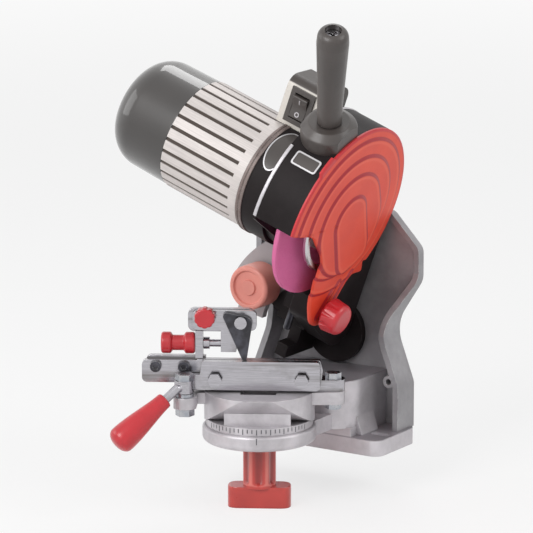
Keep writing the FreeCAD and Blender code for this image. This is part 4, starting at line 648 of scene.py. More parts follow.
@dataclass(frozen=True)
class FlutedPlastic(Moulding):
    """Lock knob's plastic: painted shade in the flutes of the stem, painted highlights on their
    crests.
    """

    painted_highlight: Colour = (0.92, 0.3, 0.25)
    stem_foot: float = -0.0175
    stem_soft: float = 0.002
    flute_radius: Span = (0.0126, 0.0108)
    crest_radius: Span = (0.0124, 0.013)
    strength: float = 0.55

    def patches(self, recipe: Recipe, colour: Wire) -> Wire:
        """Paints shade into the flutes and highlights onto the crests.

        Args:
            recipe: the material's node tree.
            colour: the colour so far.
        Returns:
            The colour with the painted shade and highlights.
        """
        across, depth, up = recipe.parts(recipe.local(Place.VISE))
        radius = (across * across + depth * depth).root()
        stem = up.ease(self.stem_foot, self.stem_foot + self.stem_soft)
        flutes = radius.ease(*self.flute_radius) * stem * self.strength
        # painted shade in the flutes
        colour = recipe.blend(flutes, colour, self.deep)
        # painted highlights on the crests
        crests = radius.ease(*self.crest_radius) * stem * self.strength
        return recipe.blend(crests, colour, self.painted_highlight)


@dataclass(frozen=True)
class Step:
    """Line on the cover where its face rises: so far from a stretch between two points."""

    radius: float
    heel: Span = (0.0, 0.0)        # from the wheel centre, rearwards and up
    toe: Span = (0.0, 0.0)
    rise: float = 1.25

    def distance(self, rear: float, up: float) -> float:
        """Distance of a point from the line.

        Args:
            rear, up: the point, in millimetres from the wheel centre.
        Returns:
            Millimetres outside the line, negative inside it.
        """
        side = Vector(self.toe) - Vector(self.heel)
        spot = Vector((rear, up)) - Vector(self.heel)
        share = 0.0
        if side.length:
            share = min(1.0, max(0.0, spot.dot(side) / side.length_squared))
        return (spot - side * share).length - self.radius

    def drawn(self, rear: Wire, up: Wire) -> Wire:
        """The same distance in a shader.

        Args:
            rear, up: the point, in metres from the wheel centre.
        Returns:
            Metres outside the line, negative inside it.
        """
        side = (Vector(self.toe) - Vector(self.heel)) * MM
        rear = rear - self.heel[0] * MM
        up = up - self.heel[1] * MM
        if side.length:
            share = ((rear * side.x + up * side.y) / side.length_squared).most(0.0).least(1.0)
            rear = rear - share * side.x
            up = up - share * side.y
        return (rear * rear + up * up).root() - self.radius * MM


COVER_STEPS = (
    Step(68.0),
    Step(54.0),
    Step(39.0, toe=(9.0, -13.0)),
    Step(20.0, toe=(20.0, -33.0)),
    Step(2.2, heel=(36.0, -56.0), toe=(20.0, -90.0), rise=0.8),
    Step(2.2, heel=(21.0, -62.0), toe=(6.0, -90.0), rise=0.8),
)
COVER_SLOPE = 2.6                  # width of each step's slope, in millimetres


@dataclass(frozen=True)
class CoverPaint(Moulding):
    """Orange-red paint, with painted shade along the steps and painted highlights along their
    crests.
    """

    # colour of the painted shade along each step's slope
    line: Colour = (0.4, 0.013, 0.028)
    # colour of the painted highlight along each step's crest
    crest: Colour = (0.86, 0.13, 0.07)
    rim: Colour = (0.56, 0.022, 0.045)
    half: float = 0.0012               # half a line's width
    line_soft: Span = (0.0007, 0.0003)     # outside and inside the line's edge
    crest_in: float = 2.6              # how far inside its line a crest runs, in half widths
    crest_soft: Span = (0.0006, 0.0003)    # outside its edge, and from its middle
    rim_radius: Span = (0.0732, 0.0746)
    rim_foot: Span = (-0.03, -0.01)
    crest_share: float = 0.55
    rim_share: float = 0.75
    line_share: float = 0.92

    def patches(self, recipe: Recipe, colour: Wire) -> Wire:
        """Draws the painted shade along the steps, the painted highlights along their crests, and
        the rim.

        Args:
            recipe: the material's node tree.
            colour: the colour so far.
        Returns:
            The colour with the lines.
        """
        _, rear, up = recipe.parts(recipe.local(Place.HEAD))
        outside, inside = self.line_soft
        beyond, middle = self.crest_soft
        deep: Value = 0.0
        bright: Value = 0.0
        for step in COVER_STEPS:
            distance = step.drawn(rear, up)
            deep = distance.size().ease(self.half + outside, self.half - inside).most(deep)
            crest = (distance + self.crest_in * self.half).size()
            bright = crest.ease(self.half + beyond, middle).most(bright)
        radius = (rear * rear + up * up).root()
        rim = radius.ease(*self.rim_radius) * up.ease(*self.rim_foot)
        # painted highlights along the crests
        colour = recipe.blend(bright * self.crest_share, colour, self.crest)
        colour = recipe.blend(rim * self.rim_share, colour, self.rim)
        # painted shade along the steps
        return recipe.blend(deep * self.line_share, colour, self.line)


@dataclass(frozen=True)
class RibbedHousing(Finish):
    """Ribbed motor tube: pale drawn lands, painted shade in the grooves between them, and a plain
    end ring.
    """

    land: Colour
    # colour of the painted shade in the grooves
    groove: Colour
    ribs: int = 28
    end_ring: float = 8.0              # millimetres, as the fade after it
    end_fade: float = 0.6
    flank: Span = (0.00165, 0.0011)    # from the groove's middle
    draw_marks: float = 1500.0
    cloud: float = 34.0
    edge: float = 0.0004
    relief: float = 0.000015
    metallic: float = 0.25
    roughness: float = 0.54
    mottle: Span = (0.92, 1.12)
    cloud_shade: float = 0.8
    drawn_mask: Span = (0.3, 0.7)
    cloud_mask: Span = (0.5, 0.8)
    cloud_share: float = 0.25
    edge_share: float = 0.35
    drawn_rough: float = 0.15
    groove_rough: float = 0.2

    def paint(self, recipe: Recipe) -> None:
        """Feeds the recipe's shader.

        Args:
            recipe: the material's node tree.
        """
        along, degrees, radius = recipe.about_wheel()
        pitch = 360.0 / self.ribs
        off = ((degrees / pitch).cycle(1.0) - 0.5).size() * (pitch * math.pi / 180.0)
        ring_end = FLANGE_LEFT - self.end_ring
        beyond = (ring_end * MM, (ring_end - self.end_fade) * MM)
        sunk = (off * radius).ease(*self.flank) * along.ease(*beyond)
        streaks = recipe.stretch(ALONG_X, recipe.local(Place.HEAD))
        drawn = recipe.noise(self.draw_marks, rough=0.6, at=streaks)
        cloud = recipe.noise(self.cloud)
        normal, edge = recipe.rounded(self.edge)
        dark, pale = (shaded(self.land, times) for times in self.mottle)
        colour = recipe.blend(drawn.ease(*self.drawn_mask), dark, pale)
        colour = recipe.blend(cloud.ease(*self.cloud_mask) * self.cloud_share, colour,
                              shaded(self.land, self.cloud_shade))
        colour = recipe.blend(edge * self.edge_share, colour, BARE_EDGE)
        # painted shade in the grooves
        colour = recipe.blend(sunk, colour, self.groove)
        recipe.surface(
            Base_Color=colour, Metallic=self.metallic - sunk * self.metallic,
            Roughness=(self.roughness + drawn.swing(self.drawn_rough)
                       + sunk * self.groove_rough),
            Normal=recipe.bump(drawn, self.relief, normal))


class Lay(Enum):
    """Direction that a tool left its marks in."""

    ALONG_RAILS = "along rails"
    ABOUT_WHEEL = "about wheel"


@dataclass(frozen=True)
class Machined(Finish):
    """Machined or ground metal with fine tool marks, smudges and bright edges, with painted shade
    in its corners and, where asked, painted dark reflections in bands.
    """

    colour: Colour
    roughness: float
    lay: Lay
    marks: float = 2600.0
    smudge: float = 42.0
    relief: float = 0.000012
    edge: float = 0.0004
    corner: float = 0.005
    # colour of real stains, of the painted shade in corners and of the painted dark reflections
    # along the rails
    stain_shade_reflection: Colour = (0.18, 0.17, 0.16)
    stained: float = 0.25
    painted_reflection_bands: float = 0.0       # share of painted dark reflections, in bands along the rails
    band: float = 95.0
    band_stretch: Spot = (0.06, 1.0, 1.0)
    mottle: Span = (0.88, 1.15)
    marks_mask: Span = (0.25, 0.75)
    band_mask: Span = (0.5, 0.66)
    smudge_mask: Span = (0.52, 0.8)
    corner_share: float = 0.6
    edge_share: float = 0.5
    smudge_rough: float = 0.25
    marks_rough: float = 0.12
    waver: float = 60.0            # noise that bends the turned rings
    waver_width: float = 2.0
    ring_share: float = 0.6        # of the rings; flecks make up the rest
    fleck: float = 0.4             # the flecks' cells, as a share of the marks'

    def paint(self, recipe: Recipe) -> None:
        """Feeds the recipe's shader.

        Args:
            recipe: the material's node tree.
        """
        marks = self._marks(recipe)
        smudge = recipe.noise(self.smudge, detail=4.0, rough=0.6)
        normal, edge = recipe.rounded(self.edge)
        corner = recipe.shelter(self.corner)
        dark, pale = (shaded(self.colour, times) for times in self.mottle)
        colour = recipe.blend(marks.ease(*self.marks_mask), dark, pale)
        if self.painted_reflection_bands:
            streaks = recipe.stretch(self.band_stretch, recipe.local(Place.VISE))
            bands = recipe.noise(self.band, rough=0.6, at=streaks).ease(*self.band_mask)
            # painted reflection: dark bands along the rails
            colour = recipe.blend(bands * self.painted_reflection_bands, colour, self.stain_shade_reflection)
        colour = recipe.blend(smudge.ease(*self.smudge_mask) * self.stained, colour, self.stain_shade_reflection)
        # painted shade in sheltered corners
        colour = recipe.blend(corner * self.corner_share, colour, self.stain_shade_reflection)
        colour = recipe.blend(edge * (1.0 - corner) * self.edge_share, colour, BARE_EDGE)
        recipe.surface(
            Base_Color=colour, Metallic=1.0,
            Roughness=(self.roughness + smudge.swing(self.smudge_rough)
                       + marks.swing(self.marks_rough)),
            Normal=recipe.bump(marks, self.relief, normal))

    def _marks(self, recipe: Recipe) -> Wire:
        """Tool marks.

        Args:
            recipe: the material's node tree.
        Returns:
            A value from 0 to 1 that changes from mark to mark.
        """
        if self.lay is Lay.ABOUT_WHEEL:
            _, _, radius = recipe.about_wheel()
            bend = recipe.noise(self.waver, detail=2.0) * self.waver_width
            rings = (radius * self.marks + bend).wave()
            flecks = recipe.noise(self.marks * self.fleck, detail=2.0)
            return rings * self.ring_share + flecks * (1 - self.ring_share)
        streaks = recipe.stretch(ALONG_X, recipe.local(Place.VISE))
        return recipe.noise(self.marks, rough=0.6, at=streaks)


@dataclass(frozen=True)
class Plated(Finish):
    """Zinc-plated or blackened screws and pins: satin metal with a slight colour cast and painted
    shade in corners.
    """

    colour: Colour
    cast: Colour
    roughness: float
    cloud: float = 160.0
    speck: float = 1800.0
    relief: float = 0.00003
    edge: float = 0.0004
    corner: float = 0.003
    # colour of the painted shade in sheltered corners
    painted_shade: Colour = (0.05, 0.045, 0.04)
    rubbed: Colour = (0.85, 0.85, 0.85)
    cloud_mask: Span = (0.3, 0.7)
    corner_share: float = 0.7
    edge_share: float = 0.4
    cloud_rough: float = 0.2

    def paint(self, recipe: Recipe) -> None:
        """Feeds the recipe's shader.

        Args:
            recipe: the material's node tree.
        """
        cloud = recipe.noise(self.cloud)
        speck = recipe.grit(self.speck)
        normal, edge = recipe.rounded(self.edge)
        corner = recipe.shelter(self.corner)
        colour = recipe.blend(cloud.ease(*self.cloud_mask), self.colour, self.cast)
        # painted shade in sheltered corners
        colour = recipe.blend(corner * self.corner_share, colour, self.painted_shade)
        colour = recipe.blend(edge * self.edge_share, colour, self.rubbed)
        recipe.surface(Base_Color=colour, Metallic=1.0,
                       Roughness=self.roughness + cloud.swing(self.cloud_rough),
                       Normal=recipe.bump(speck, self.relief, normal))


@dataclass(frozen=True)
class Abrasive(Finish):
    """Vitrified abrasive: coloured grains, dark pores and a worn grinding band."""

    grain: Colour
    pale: Colour
    pore: Colour
    grains: float = 2600.0
    pores: float = 1150.0
    cloud: float = 26.0
    worn_radius: Span = (0.0685, 0.0722)
    roughness: float = 0.93
    relief: float = 0.0002
    grain_mask: Span = (0.1, 0.7)
    cloud_mask: Span = (0.3, 0.75)
    pore_mask: Span = (0.22, 0.1)
    cloud_share: float = 0.35
    pore_share: float = 0.8
    worn_share: float = 0.45
    worn_smooth: float = 0.1
    grain_height: float = 0.6

    def paint(self, recipe: Recipe) -> None:
        """Feeds the recipe's shader.

        Args:
            recipe: the material's node tree.
        """
        grains = recipe.grit(self.grains)
        coarse = recipe.grit(self.pores)
        cloud = recipe.noise(self.cloud)
        _, _, radius = recipe.about_wheel()
        worn = radius.ease(*self.worn_radius)
        colour = recipe.blend(grains.ease(*self.grain_mask), self.grain, self.pale)
        colour = recipe.blend(cloud.ease(*self.cloud_mask) * self.cloud_share, colour, self.pale)
        colour = recipe.blend(coarse.ease(*self.pore_mask) * self.pore_share, colour, self.pore)
        colour = recipe.blend(worn * self.worn_share, colour, self.pale)
        recipe.surface(Base_Color=colour, Roughness=self.roughness - worn * self.worn_smooth,
                       Normal=recipe.bump(grains * self.grain_height + coarse, self.relief))


@dataclass(frozen=True)
class Paper(Finish):
    """Pressed paper washer with fibres, a ring and clamp rub marks."""

    colour: Colour
    ink: Colour
    fibre: float = 1500.0
    fibre_stretch: Spot = (1.0, 1.0, 0.25)
    ring_radius: float = 0.0318
    ring_half: Span = (0.0004, 0.0001)
    clamp_radius: Span = (0.0262, 0.0238)
    roughness: float = 0.85
    relief: float = 0.00006
    fibre_mask: Span = (0.3, 0.7)
    fibre_share: float = 0.35
    ring_share: float = 0.7
    rub_share: float = 0.2

    def paint(self, recipe: Recipe) -> None:
        """Feeds the recipe's shader.

        Args:
            recipe: the material's node tree.
        """
        fibre = recipe.noise(self.fibre, detail=4.0, rough=0.7,
                             at=recipe.stretch(self.fibre_stretch))
        _, _, radius = recipe.about_wheel()
        ring = (radius - self.ring_radius).size().ease(*self.ring_half)
        rub = radius.ease(*self.clamp_radius)
        colour = recipe.blend(fibre.ease(*self.fibre_mask) * self.fibre_share, self.colour,
                              self.ink)
        colour = recipe.blend(ring * self.ring_share + rub * self.rub_share, colour, self.ink)
        recipe.surface(Base_Color=colour, Roughness=self.roughness,
                       Normal=recipe.bump(fibre, self.relief))


@dataclass(frozen=True)
class Engraved(Finish):
    """Satin plate with a scale of degree lines about the tilt axis."""

    colour: Colour
    ink: Colour
    pitches: Span = (2.0, 10.0)            # degrees between short and between long lines
    short_half: Span = (0.32, 0.2)         # half a line's width, in degrees
    short_start: Span = (0.0398, 0.0401)
    long_half: Span = (0.42, 0.28)
    long_start: Span = (0.0368, 0.0371)
    outer_end: Span = (0.046, 0.0455)
    brush: float = 1400.0
    brush_stretch: Spot = (0.05, 1.0, 1.0)
    metallic: float = 0.6
    roughness: float = 0.38
    relief: float = 0.00002
    brush_mask: Span = (0.3, 0.7)
    brush_shade: float = 0.8
    brush_share: float = 0.3
    brush_rough: float = 0.1
    line_depth: float = 2.0        # in the relief

    def paint(self, recipe: Recipe) -> None:
        """Feeds the recipe's shader.

        Args:
            recipe: the material's node tree.
        """
        across, _, up = recipe.parts(recipe.place)
        rise = up - LEAN_Z * MM
        degrees = rise.turned(across)
        radius = (across * across + rise * rise).root()
        short, long = self.pitches
        fine = self._lines(degrees, short, self.short_half) * radius.ease(*self.short_start)
        coarse = self._lines(degrees, long, self.long_half) * radius.ease(*self.long_start)
        line = fine.most(coarse) * radius.ease(*self.outer_end)
        brush = recipe.noise(self.brush, rough=0.6, at=recipe.stretch(self.brush_stretch))
        colour = recipe.blend(brush.ease(*self.brush_mask) * self.brush_share, self.colour,
                              shaded(self.colour, self.brush_shade))
        colour = recipe.blend(line, colour, self.ink)
        recipe.surface(Base_Color=colour, Metallic=self.metallic,
                       Roughness=self.roughness + brush * self.brush_rough,
                       Normal=recipe.bump(brush - line * self.line_depth, self.relief))

    def _lines(self, degrees: Wire, pitch: float, half: Span) -> Wire:
        """Mask of lines that repeat at a pitch."""
        return ((degrees + pitch / 2).cycle(pitch) - pitch / 2).size().ease(*half)


@dataclass(frozen=True)
class Laminated(Finish):
    """Stack of thin steel sheets, seen on edge."""

    colour: Colour
    seam: Colour
    rust: Colour = (0.2, 0.09, 0.05)
    sheet: float = 0.0007
    blotch: float = 120.0
    metallic: float = 0.8
    roughness: float = 0.5
    relief: float = 0.00008
    sheet_mask: Span = (0.2, 0.8)
    rust_mask: Span = (0.6, 0.8)
    rust_share: float = 0.3

    def paint(self, recipe: Recipe) -> None:
        """Feeds the recipe's shader.

        Args:
            recipe: the material's node tree.
        """
        along, _, _ = recipe.parts(recipe.local(Place.HEAD))
        sheet = (along * (2 * math.pi / self.sheet)).wave()
        blotch = recipe.noise(self.blotch, detail=4.0)
        colour = recipe.blend(sheet.ease(*self.sheet_mask), self.seam, self.colour)
        colour = recipe.blend(blotch.ease(*self.rust_mask) * self.rust_share, colour, self.rust)
        recipe.surface(Base_Color=colour, Metallic=self.metallic, Roughness=self.roughness,
                       Normal=recipe.bump(sheet, self.relief))


SILVER = tint(226, 225, 224)

FINISHES: dict[str, Finish] = {
    "cast_aluminium": BenchCasting(tint(196, 192, 196), SILVER, 0.5, 0.42, wear=0.7, grime=0.65),
    "column_grey": Casting(tint(152, 150, 153), SILVER, 0.4, 0.45, pebble=620.0, wear=0.8,
                           grime=0.4),
    "bright_steel": Machined(tint(178, 176, 181), 0.2, Lay.ALONG_RAILS, stained=0.4,
                             painted_reflection_bands=0.75),
    "zinc_screws": Plated(tint(186, 187, 190), tint(160, 164, 172), 0.28),
    "spring_steel": Plated(tint(120, 120, 124), tint(96, 92, 88), 0.32),
    "scale_plate": Engraved(tint(206, 204, 206), tint(20, 20, 22)),
    "black_cast": BlackCasting(tint(27, 21, 22), tint(120, 118, 118), 0.0, 0.5, relief=0.00012,
                               wear=0.35, grime=0.3, gloss=0.15),
    "wing_grey": Casting(tint(120, 106, 102), SILVER, 0.3, 0.42, wear=0.6),
    "red_cover": CoverPaint(tint(236, 76, 48), tint(200, 42, 36), 0.44),
    "red_knob": Moulding(tint(208, 42, 52), tint(140, 16, 28), 0.32, coat=0.3,
                         coat_roughness=0.08),
    "dark_red_knob": FlutedPlastic(tint(202, 64, 56), tint(112, 18, 18), 0.3, coat=0.5,
                                   coat_roughness=0.08),
    "salmon_knob": Moulding(tint(236, 156, 142), tint(190, 92, 82), 0.4, coat=0.1),
    "dark_plastic": Moulding(tint(74, 67, 64), tint(30, 27, 26), 0.46, peel=700.0,
                             relief=0.00008, coat=0.35, coat_roughness=0.22),
    "grey_box": SwitchBoxPlastic(tint(70, 63, 60), tint(34, 30, 28), 0.45,
                                 front=tint(224, 218, 210)),
    "motor_aluminium": RibbedHousing(tint(208, 201, 198), tint(80, 70, 64)),
    "end_cap_black": Moulding(tint(40, 34, 31), tint(24, 21, 19), 0.4, relief=0.00002, coat=1.0,
                              coat_roughness=0.04, coat_index=1.55),
    "laminated_steel": Laminated(tint(128, 126, 124), tint(46, 44, 42)),
    "bronze": Plated(tint(176, 132, 78), tint(150, 104, 58), 0.4),
    "flange_steel": Machined(tint(206, 206, 206), 0.26, Lay.ABOUT_WHEEL, marks=9000.0),
    "dark_steel": Plated(tint(88, 88, 95), tint(66, 65, 68), 0.36),
    "abrasive": Abrasive(tint(210, 70, 138), tint(224, 118, 166), tint(116, 30, 74)),
    "blotter_paper": Paper(tint(214, 194, 200), tint(160, 110, 130)),
}


class Wardrobe:
    """Every finish of the record, made once and shared by the pieces that wear it."""

    def __init__(self) -> None:
        """Makes one material for each slot of the record."""
        self.made = {slot: finish.make(slot) for slot, finish in FINISHES.items()}

    def wear(self, piece: bpy.types.Object, slot: str) -> None:
        """Gives a new piece the finish of a slot."""
        piece.data.materials.append(self.made[slot])

    def dress(self, node: bpy.types.Object) -> None:
        """Puts the slot's finish on a CAD node, whose material has the slot's name."""
        for holder in node.material_slots:
            holder.material = self.made[holder.material.name.split(".")[0]]


# ---------------------------------------------------------------- mesh tools
WELD = 1e-4                        # points closer than this, in millimetres, become one
SHARP = 35.0                       # degrees; edges sharper than this stay sharp
SHARP_ROUND = 40.0                 # the same for a rounded piece
CORNER_STEPS = 8                   # stretches on an eased corner
CORNER_MOST = 0.49                 # share of a side that an eased corner may take
EDGE_SHARES = (1.0, 0.988, 0.975)  # rows of a plate along its eased edge, as shares from its eye
EDGE_DROPS = (1.0, 0.3)            # share of the drop that the outer rows have
FLAT_SHARE = 0.96                  # first row of the plate's flat
HAIR = 1e-6                        # slack where a ray passes the end of a side
PARALLEL = 1e-9


class Mesh:
    """Mesh that is built in a local frame, in millimetres, and then takes its place."""

    def __init__(self, name: str, place: Place) -> None:
        """Starts an empty mesh.

        Args:
            name: the piece's name.
            place: the frame that its points are given in.
        """
        self.name = name
        self.place = place
        self.work = bmesh.new()

    def ring(self, points: Iterable[Sequence[float]]) -> list[bmesh.types.BMVert]:
        """Adds a row of points."""
        return [self.work.verts.new(point) for point in points]

    def skin(self, first: list[bmesh.types.BMVert], second: list[bmesh.types.BMVert]) -> None:
        """Quads between two closed rows.

        Args:
            first, second: rows of the same length.
        """
        for index in range(len(first)):
            after = (index + 1) % len(first)
            self.work.faces.new((first[index], first[after], second[after], second[index]))

    def bridge(self, rows: Sequence[list[bmesh.types.BMVert]]) -> None:
        """Quads between each row and the next."""
        for first, second in zip(rows, rows[1:]):
            self.skin(first, second)

    def cap(self, *rows: list[bmesh.types.BMVert]) -> None:
        """One face over each closed row."""
        for row in rows:
            self.work.faces.new(row)

    def fan(self, row: list[bmesh.types.BMVert], tip: Sequence[float]) -> None:
        """Triangles from a closed row to a point.

        Args:
            row: the row.
            tip: the point.
        """
        point = self.work.verts.new(tip)
        for index, vertex in enumerate(row):
            self.work.faces.new((vertex, row[(index + 1) % len(row)], point))

    def finish(self, body: str, sharp: float = SHARP) -> bpy.types.Object:
        """Turns the work into an object on a body.

        Args:
            body: the CAD body that it rides on.
            sharp: edges sharper than this many degrees stay sharp.
        Returns:
            The object.
        """
        bmesh.ops.remove_doubles(self.work, verts=self.work.verts, dist=WELD)
        bmesh.ops.recalc_face_normals(self.work, faces=self.work.faces)
        limit = math.radians(sharp)
        for edge in self.work.edges:
            edge.smooth = len(edge.link_faces) == 2 and edge.calc_face_angle(0.0) < limit
        for face in self.work.faces:
            face.smooth = True
        self.work.transform(self.place.matrix())
        data = bpy.data.meshes.new(self.name)
        self.work.to_mesh(data)
        self.work.free()
        piece = bpy.data.objects.new(self.name, data)
        bpy.context.scene.collection.objects.link(piece)
        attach(piece, body)
        return piece


def lathe(mesh: Mesh, profile: Sequence[Span], centre: Vector, axis: Vector,
          steps: int = 96) -> None:
    """Surface of revolution.

    Args:
        mesh: where it is added.
        profile: (along, radius) points.
        centre: start of the axis.
        axis: its direction.
        steps: points around.
    """
    turn = axis.normalized().to_track_quat("Z", "Y")
    rows = []
    for along, radius in profile:
        row = []
        for step in range(steps):
            angle = 2 * math.pi * step / steps
            spot = Vector((radius * math.cos(angle), radius * math.sin(angle), along))
            row.append(centre + turn @ spot)
        rows.append(mesh.ring(row))
    mesh.bridge(rows)
    mesh.cap(rows[0], rows[-1])


def rounded_line(corners: Sequence[Corner], closed: bool = False) -> list[Vector]:
    """Points of a line whose corners are eased.

    Args:
        corners: its corners.
        closed: whether the line returns to its start.
    Returns:
        The points.
    """
    line: list[Vector] = []
    count = len(corners)
    for index, (x, y, ease) in enumerate(corners):
        spot = Vector((x, y))
        if ease == 0 or (not closed and index in (0, count - 1)):
            line.append(spot)
            continue
        before = Vector(corners[index - 1][:2]) - spot
        after = Vector(corners[(index + 1) % count][:2]) - spot
        first = spot + before.normalized() * min(ease, CORNER_MOST * before.length)
        last = spot + after.normalized() * min(ease, CORNER_MOST * after.length)
        for step in range(CORNER_STEPS + 1):
            share = step / CORNER_STEPS
            line.append(first.lerp(spot, share).lerp(spot.lerp(last, share), share))
    return line


def oval(half_x: float, half_y: float, steps: int = 72) -> list[Vector]:
    """Points of an ellipse about the origin."""
    turns = (2 * math.pi * step / steps for step in range(steps))
    return [Vector((half_x * math.cos(turn), half_y * math.sin(turn))) for turn in turns]


def panel(half_x: float, half_y: float, ease: float) -> list[Vector]:
    """Points of a rectangle with eased corners about the origin."""
    return rounded_line([(half_x, half_y, ease), (-half_x, half_y, ease),
                         (-half_x, -half_y, ease), (half_x, -half_y, ease)], closed=True)


def plate(mesh: Mesh, corners: Sequence[Vector], eye: Vector, thick: float, soft: float,
          lift: Lift, rings: int = 12, rays: int = 0) -> None:
    """Solid plate over an outline that its eye sees whole.

    Args:
        mesh: where it is added.
        corners: the outline.
        eye: point inside it.
        thick: thickness.
        soft: how far the front drops at its edge.
        lift: turns a flat point and a depth into a place.
        rings: rows of points from the flat's edge to the eye.
        rays: rays cast to the outline; without them each corner is a ray's end.
    """
    ends = list(corners)
    if rays:
        turns = (2 * math.pi * ray / rays for ray in range(rays))
        ends = [sight(eye, Vector((math.cos(turn), math.sin(turn))), corners) for turn in turns]
    flat = [FLAT_SHARE - FLAT_SHARE * step / rings for step in range(rings)]
    shares = [*EDGE_SHARES, *flat]
    drops = [soft * share for share in EDGE_DROPS]
    drops += [0.0] * (len(shares) - len(drops))
    front = [mesh.ring(lift(eye.lerp(end, share), thick - drop) for end in ends)
             for share, drop in zip(shares, drops)]
    back = [mesh.ring(lift(eye.lerp(end, share), 0.0) for end in ends) for share in shares]
    mesh.bridge(front)
    mesh.bridge(back)
    mesh.skin(back[0], front[0])
    mesh.fan(front[-1], lift(eye, thick))
    mesh.fan(back[-1], lift(eye, 0.0))


def sight(eye: Vector, heading: Vector, corners: Sequence[Vector]) -> Vector:
    """Farthest point of an outline that a ray meets.

    Args:
        eye: start of the ray.
        heading: its direction, one long.
        corners: the outline.
    Returns:
        The point.
    """
    best = 0.0
    for first, second in zip(corners, [*corners[1:], corners[0]]):
        side = second - first
        cross = heading.x * side.y - heading.y * side.x
        if abs(cross) < PARALLEL:
            continue
        gap = first - eye
        along = (gap.x * side.y - gap.y * side.x) / cross
        share = (gap.x * heading.y - gap.y * heading.x) / cross
        if along > 0 and -HAIR <= share <= 1 + HAIR:
            best = max(best, along)
    return eye + heading * best


def frame_strip(mesh: Mesh, outer: Sequence[Vector], inner: Sequence[Vector], thick: float,
                lift: Lift) -> None:
    """Raised strip between two outlines.

    Args:
        mesh: where it is added.
        outer, inner: the outlines, with as many points each.
        thick: its height.
        lift: turns a flat point and a depth into a place.
    """
    rows = [mesh.ring(lift(point, depth) for point in line)
            for line, depth in ((outer, 0.0), (outer, thick), (inner, thick), (inner, 0.0))]
    mesh.bridge([*rows, rows[0]])


def sweep(mesh: Mesh, section: Sequence[Span], start: float, stop: float,
          spot: Callable[[float, float, float], Sequence[float]], steps: int = 60) -> None:
    """Bar with a closed section, bent about an axis.

    Args:
        mesh: where it is added.
        section: (along, radius) points of its section.
        start, stop: angles in degrees; a whole turn closes it.
        spot: place of a distance along the axis, a radius and an angle.
        steps: sections on the way.
    """
    whole = stop - start >= 360
    count = steps if whole else steps + 1
    angles = [start + (stop - start) * step / steps for step in range(count)]
    rows = [mesh.ring(spot(along, radius, angle) for along, radius in section)
            for angle in angles]
    mesh.bridge(rows)
    if whole:
        mesh.skin(rows[-1], rows[0])
    else:
        mesh.cap(rows[0], rows[-1])


def bar_section(low: float, high: float, inside: float, outside: float,
                ease: float) -> list[Span]:
    """Section of a bar with eased outer corners."""
    return [(low, inside), (low, outside - ease), (low + ease, outside), (high - ease, outside),
            (high, outside - ease), (high, inside)]


def about_wheel(along: float, radius: float, degrees: float) -> Spot:
    """Place about the wheel's axis in the head's frame; degrees go from the rear over the top."""
    angle = math.radians(degrees)
    return along, WHEEL_Y + radius * math.cos(angle), WHEEL_Z + radius * math.sin(angle)


def about_table(height: float, radius: float, degrees: float) -> Spot:
    """Place about the turntable's axis, in the vise's frame; degrees run from its right."""
    angle = math.radians(degrees)
    return radius * math.cos(angle), radius * math.sin(angle), height


def eased(share: float) -> float:
    """Smooth step of a share from 0 to 1."""
    share = min(1.0, max(0.0, share))
    return share * share * (3 - 2 * share)


# ---------------------------------------------------------------- sub-assemblies
MIDDLE = Vector((0.0, 0.0))        # eye of an outline about the origin


class SubAssembly(Protocol):
    """Anything that builds its meshes and dresses them."""

    def dress(self, wardrobe: Wardrobe) -> None:
        """Builds the meshes, finishes them, and hides what they stand in for."""


@dataclass
class WheelCover:
    """Red cover: soft steps about the wheel, an open mouth in front, a tab, and a tail."""

    thick: float = 2.4
    eye: Span = (15.0, 0.0)
    edge_drop: float = 0.9
    rings: int = 96
    rays: int = 400
    rim_from: int = 180            # degrees from the rear over the top, as those of the tab
    rim_to: int = -41
    tab_from: int = 130
    tab_to: int = 142
    tab_out: float = 3.8
    tail: tuple[Corner, ...] = (   # from the wheel centre, rearwards and up
        (51.9, -50.0, 2.0), (56.0, -60.0, 3.0), (41.2, -59.8, 3.0), (28.0, -76.2, 7.0),
        (27.0, -99.8, 10.0), (1.2, -99.8, 12.0), (-12.3, -77.0, 7.0), (-18.8, -54.0, 8.0),
        (-19.8, -34.2, 12.0), (-47.0, -7.2, 7.0), (-76.0, -3.6, 0.0))

    def outline(self) -> list[Vector]:
        """Corners of the outline about the wheel centre, with the round rim filled in.

        Returns:
            The corners.
        """
        rim = []
        for degrees in range(self.rim_from, self.rim_to - 1, -1):
            tab = self.tab_out if self.tab_from <= degrees <= self.tab_to else 0.0
            angle = math.radians(degrees)
            rim.append(Vector((math.cos(angle), math.sin(angle))) * (GUARD_R + tab))
        rim_end = (rim[-1].x, rim[-1].y, 0.0)
        return rim + rounded_line((rim_end, *self.tail))

    def lift(self, spot: Vector, depth: float) -> Spot:
        """Point of the cover's skin, raised by the steps that it lies within.

        Args:
            spot: flat point about the wheel centre.
            depth: depth above the cover's back.
        Returns:
            The point in the head's frame.
        """
        total = sum(step.rise * eased(0.5 - step.distance(spot.x, spot.y) / COVER_SLOPE)
                    for step in COVER_STEPS)
        return COVER_FACE + depth + total, WHEEL_Y + spot.x, WHEEL_Z + spot.y

    def dress(self, wardrobe: Wardrobe) -> None:
        """Builds the cover, finishes it, and hides the plain one.

        Args:
            wardrobe: the finishes.
        """
        mesh = Mesh("stepped_wheel_cover", Place.HEAD)
        plate(mesh, self.outline(), Vector(self.eye), self.thick, self.edge_drop, self.lift,
              self.rings, self.rays)
        piece = mesh.finish("head", SHARP_ROUND)
        wardrobe.wear(piece, "red_cover")
        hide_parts("wheel_cover")


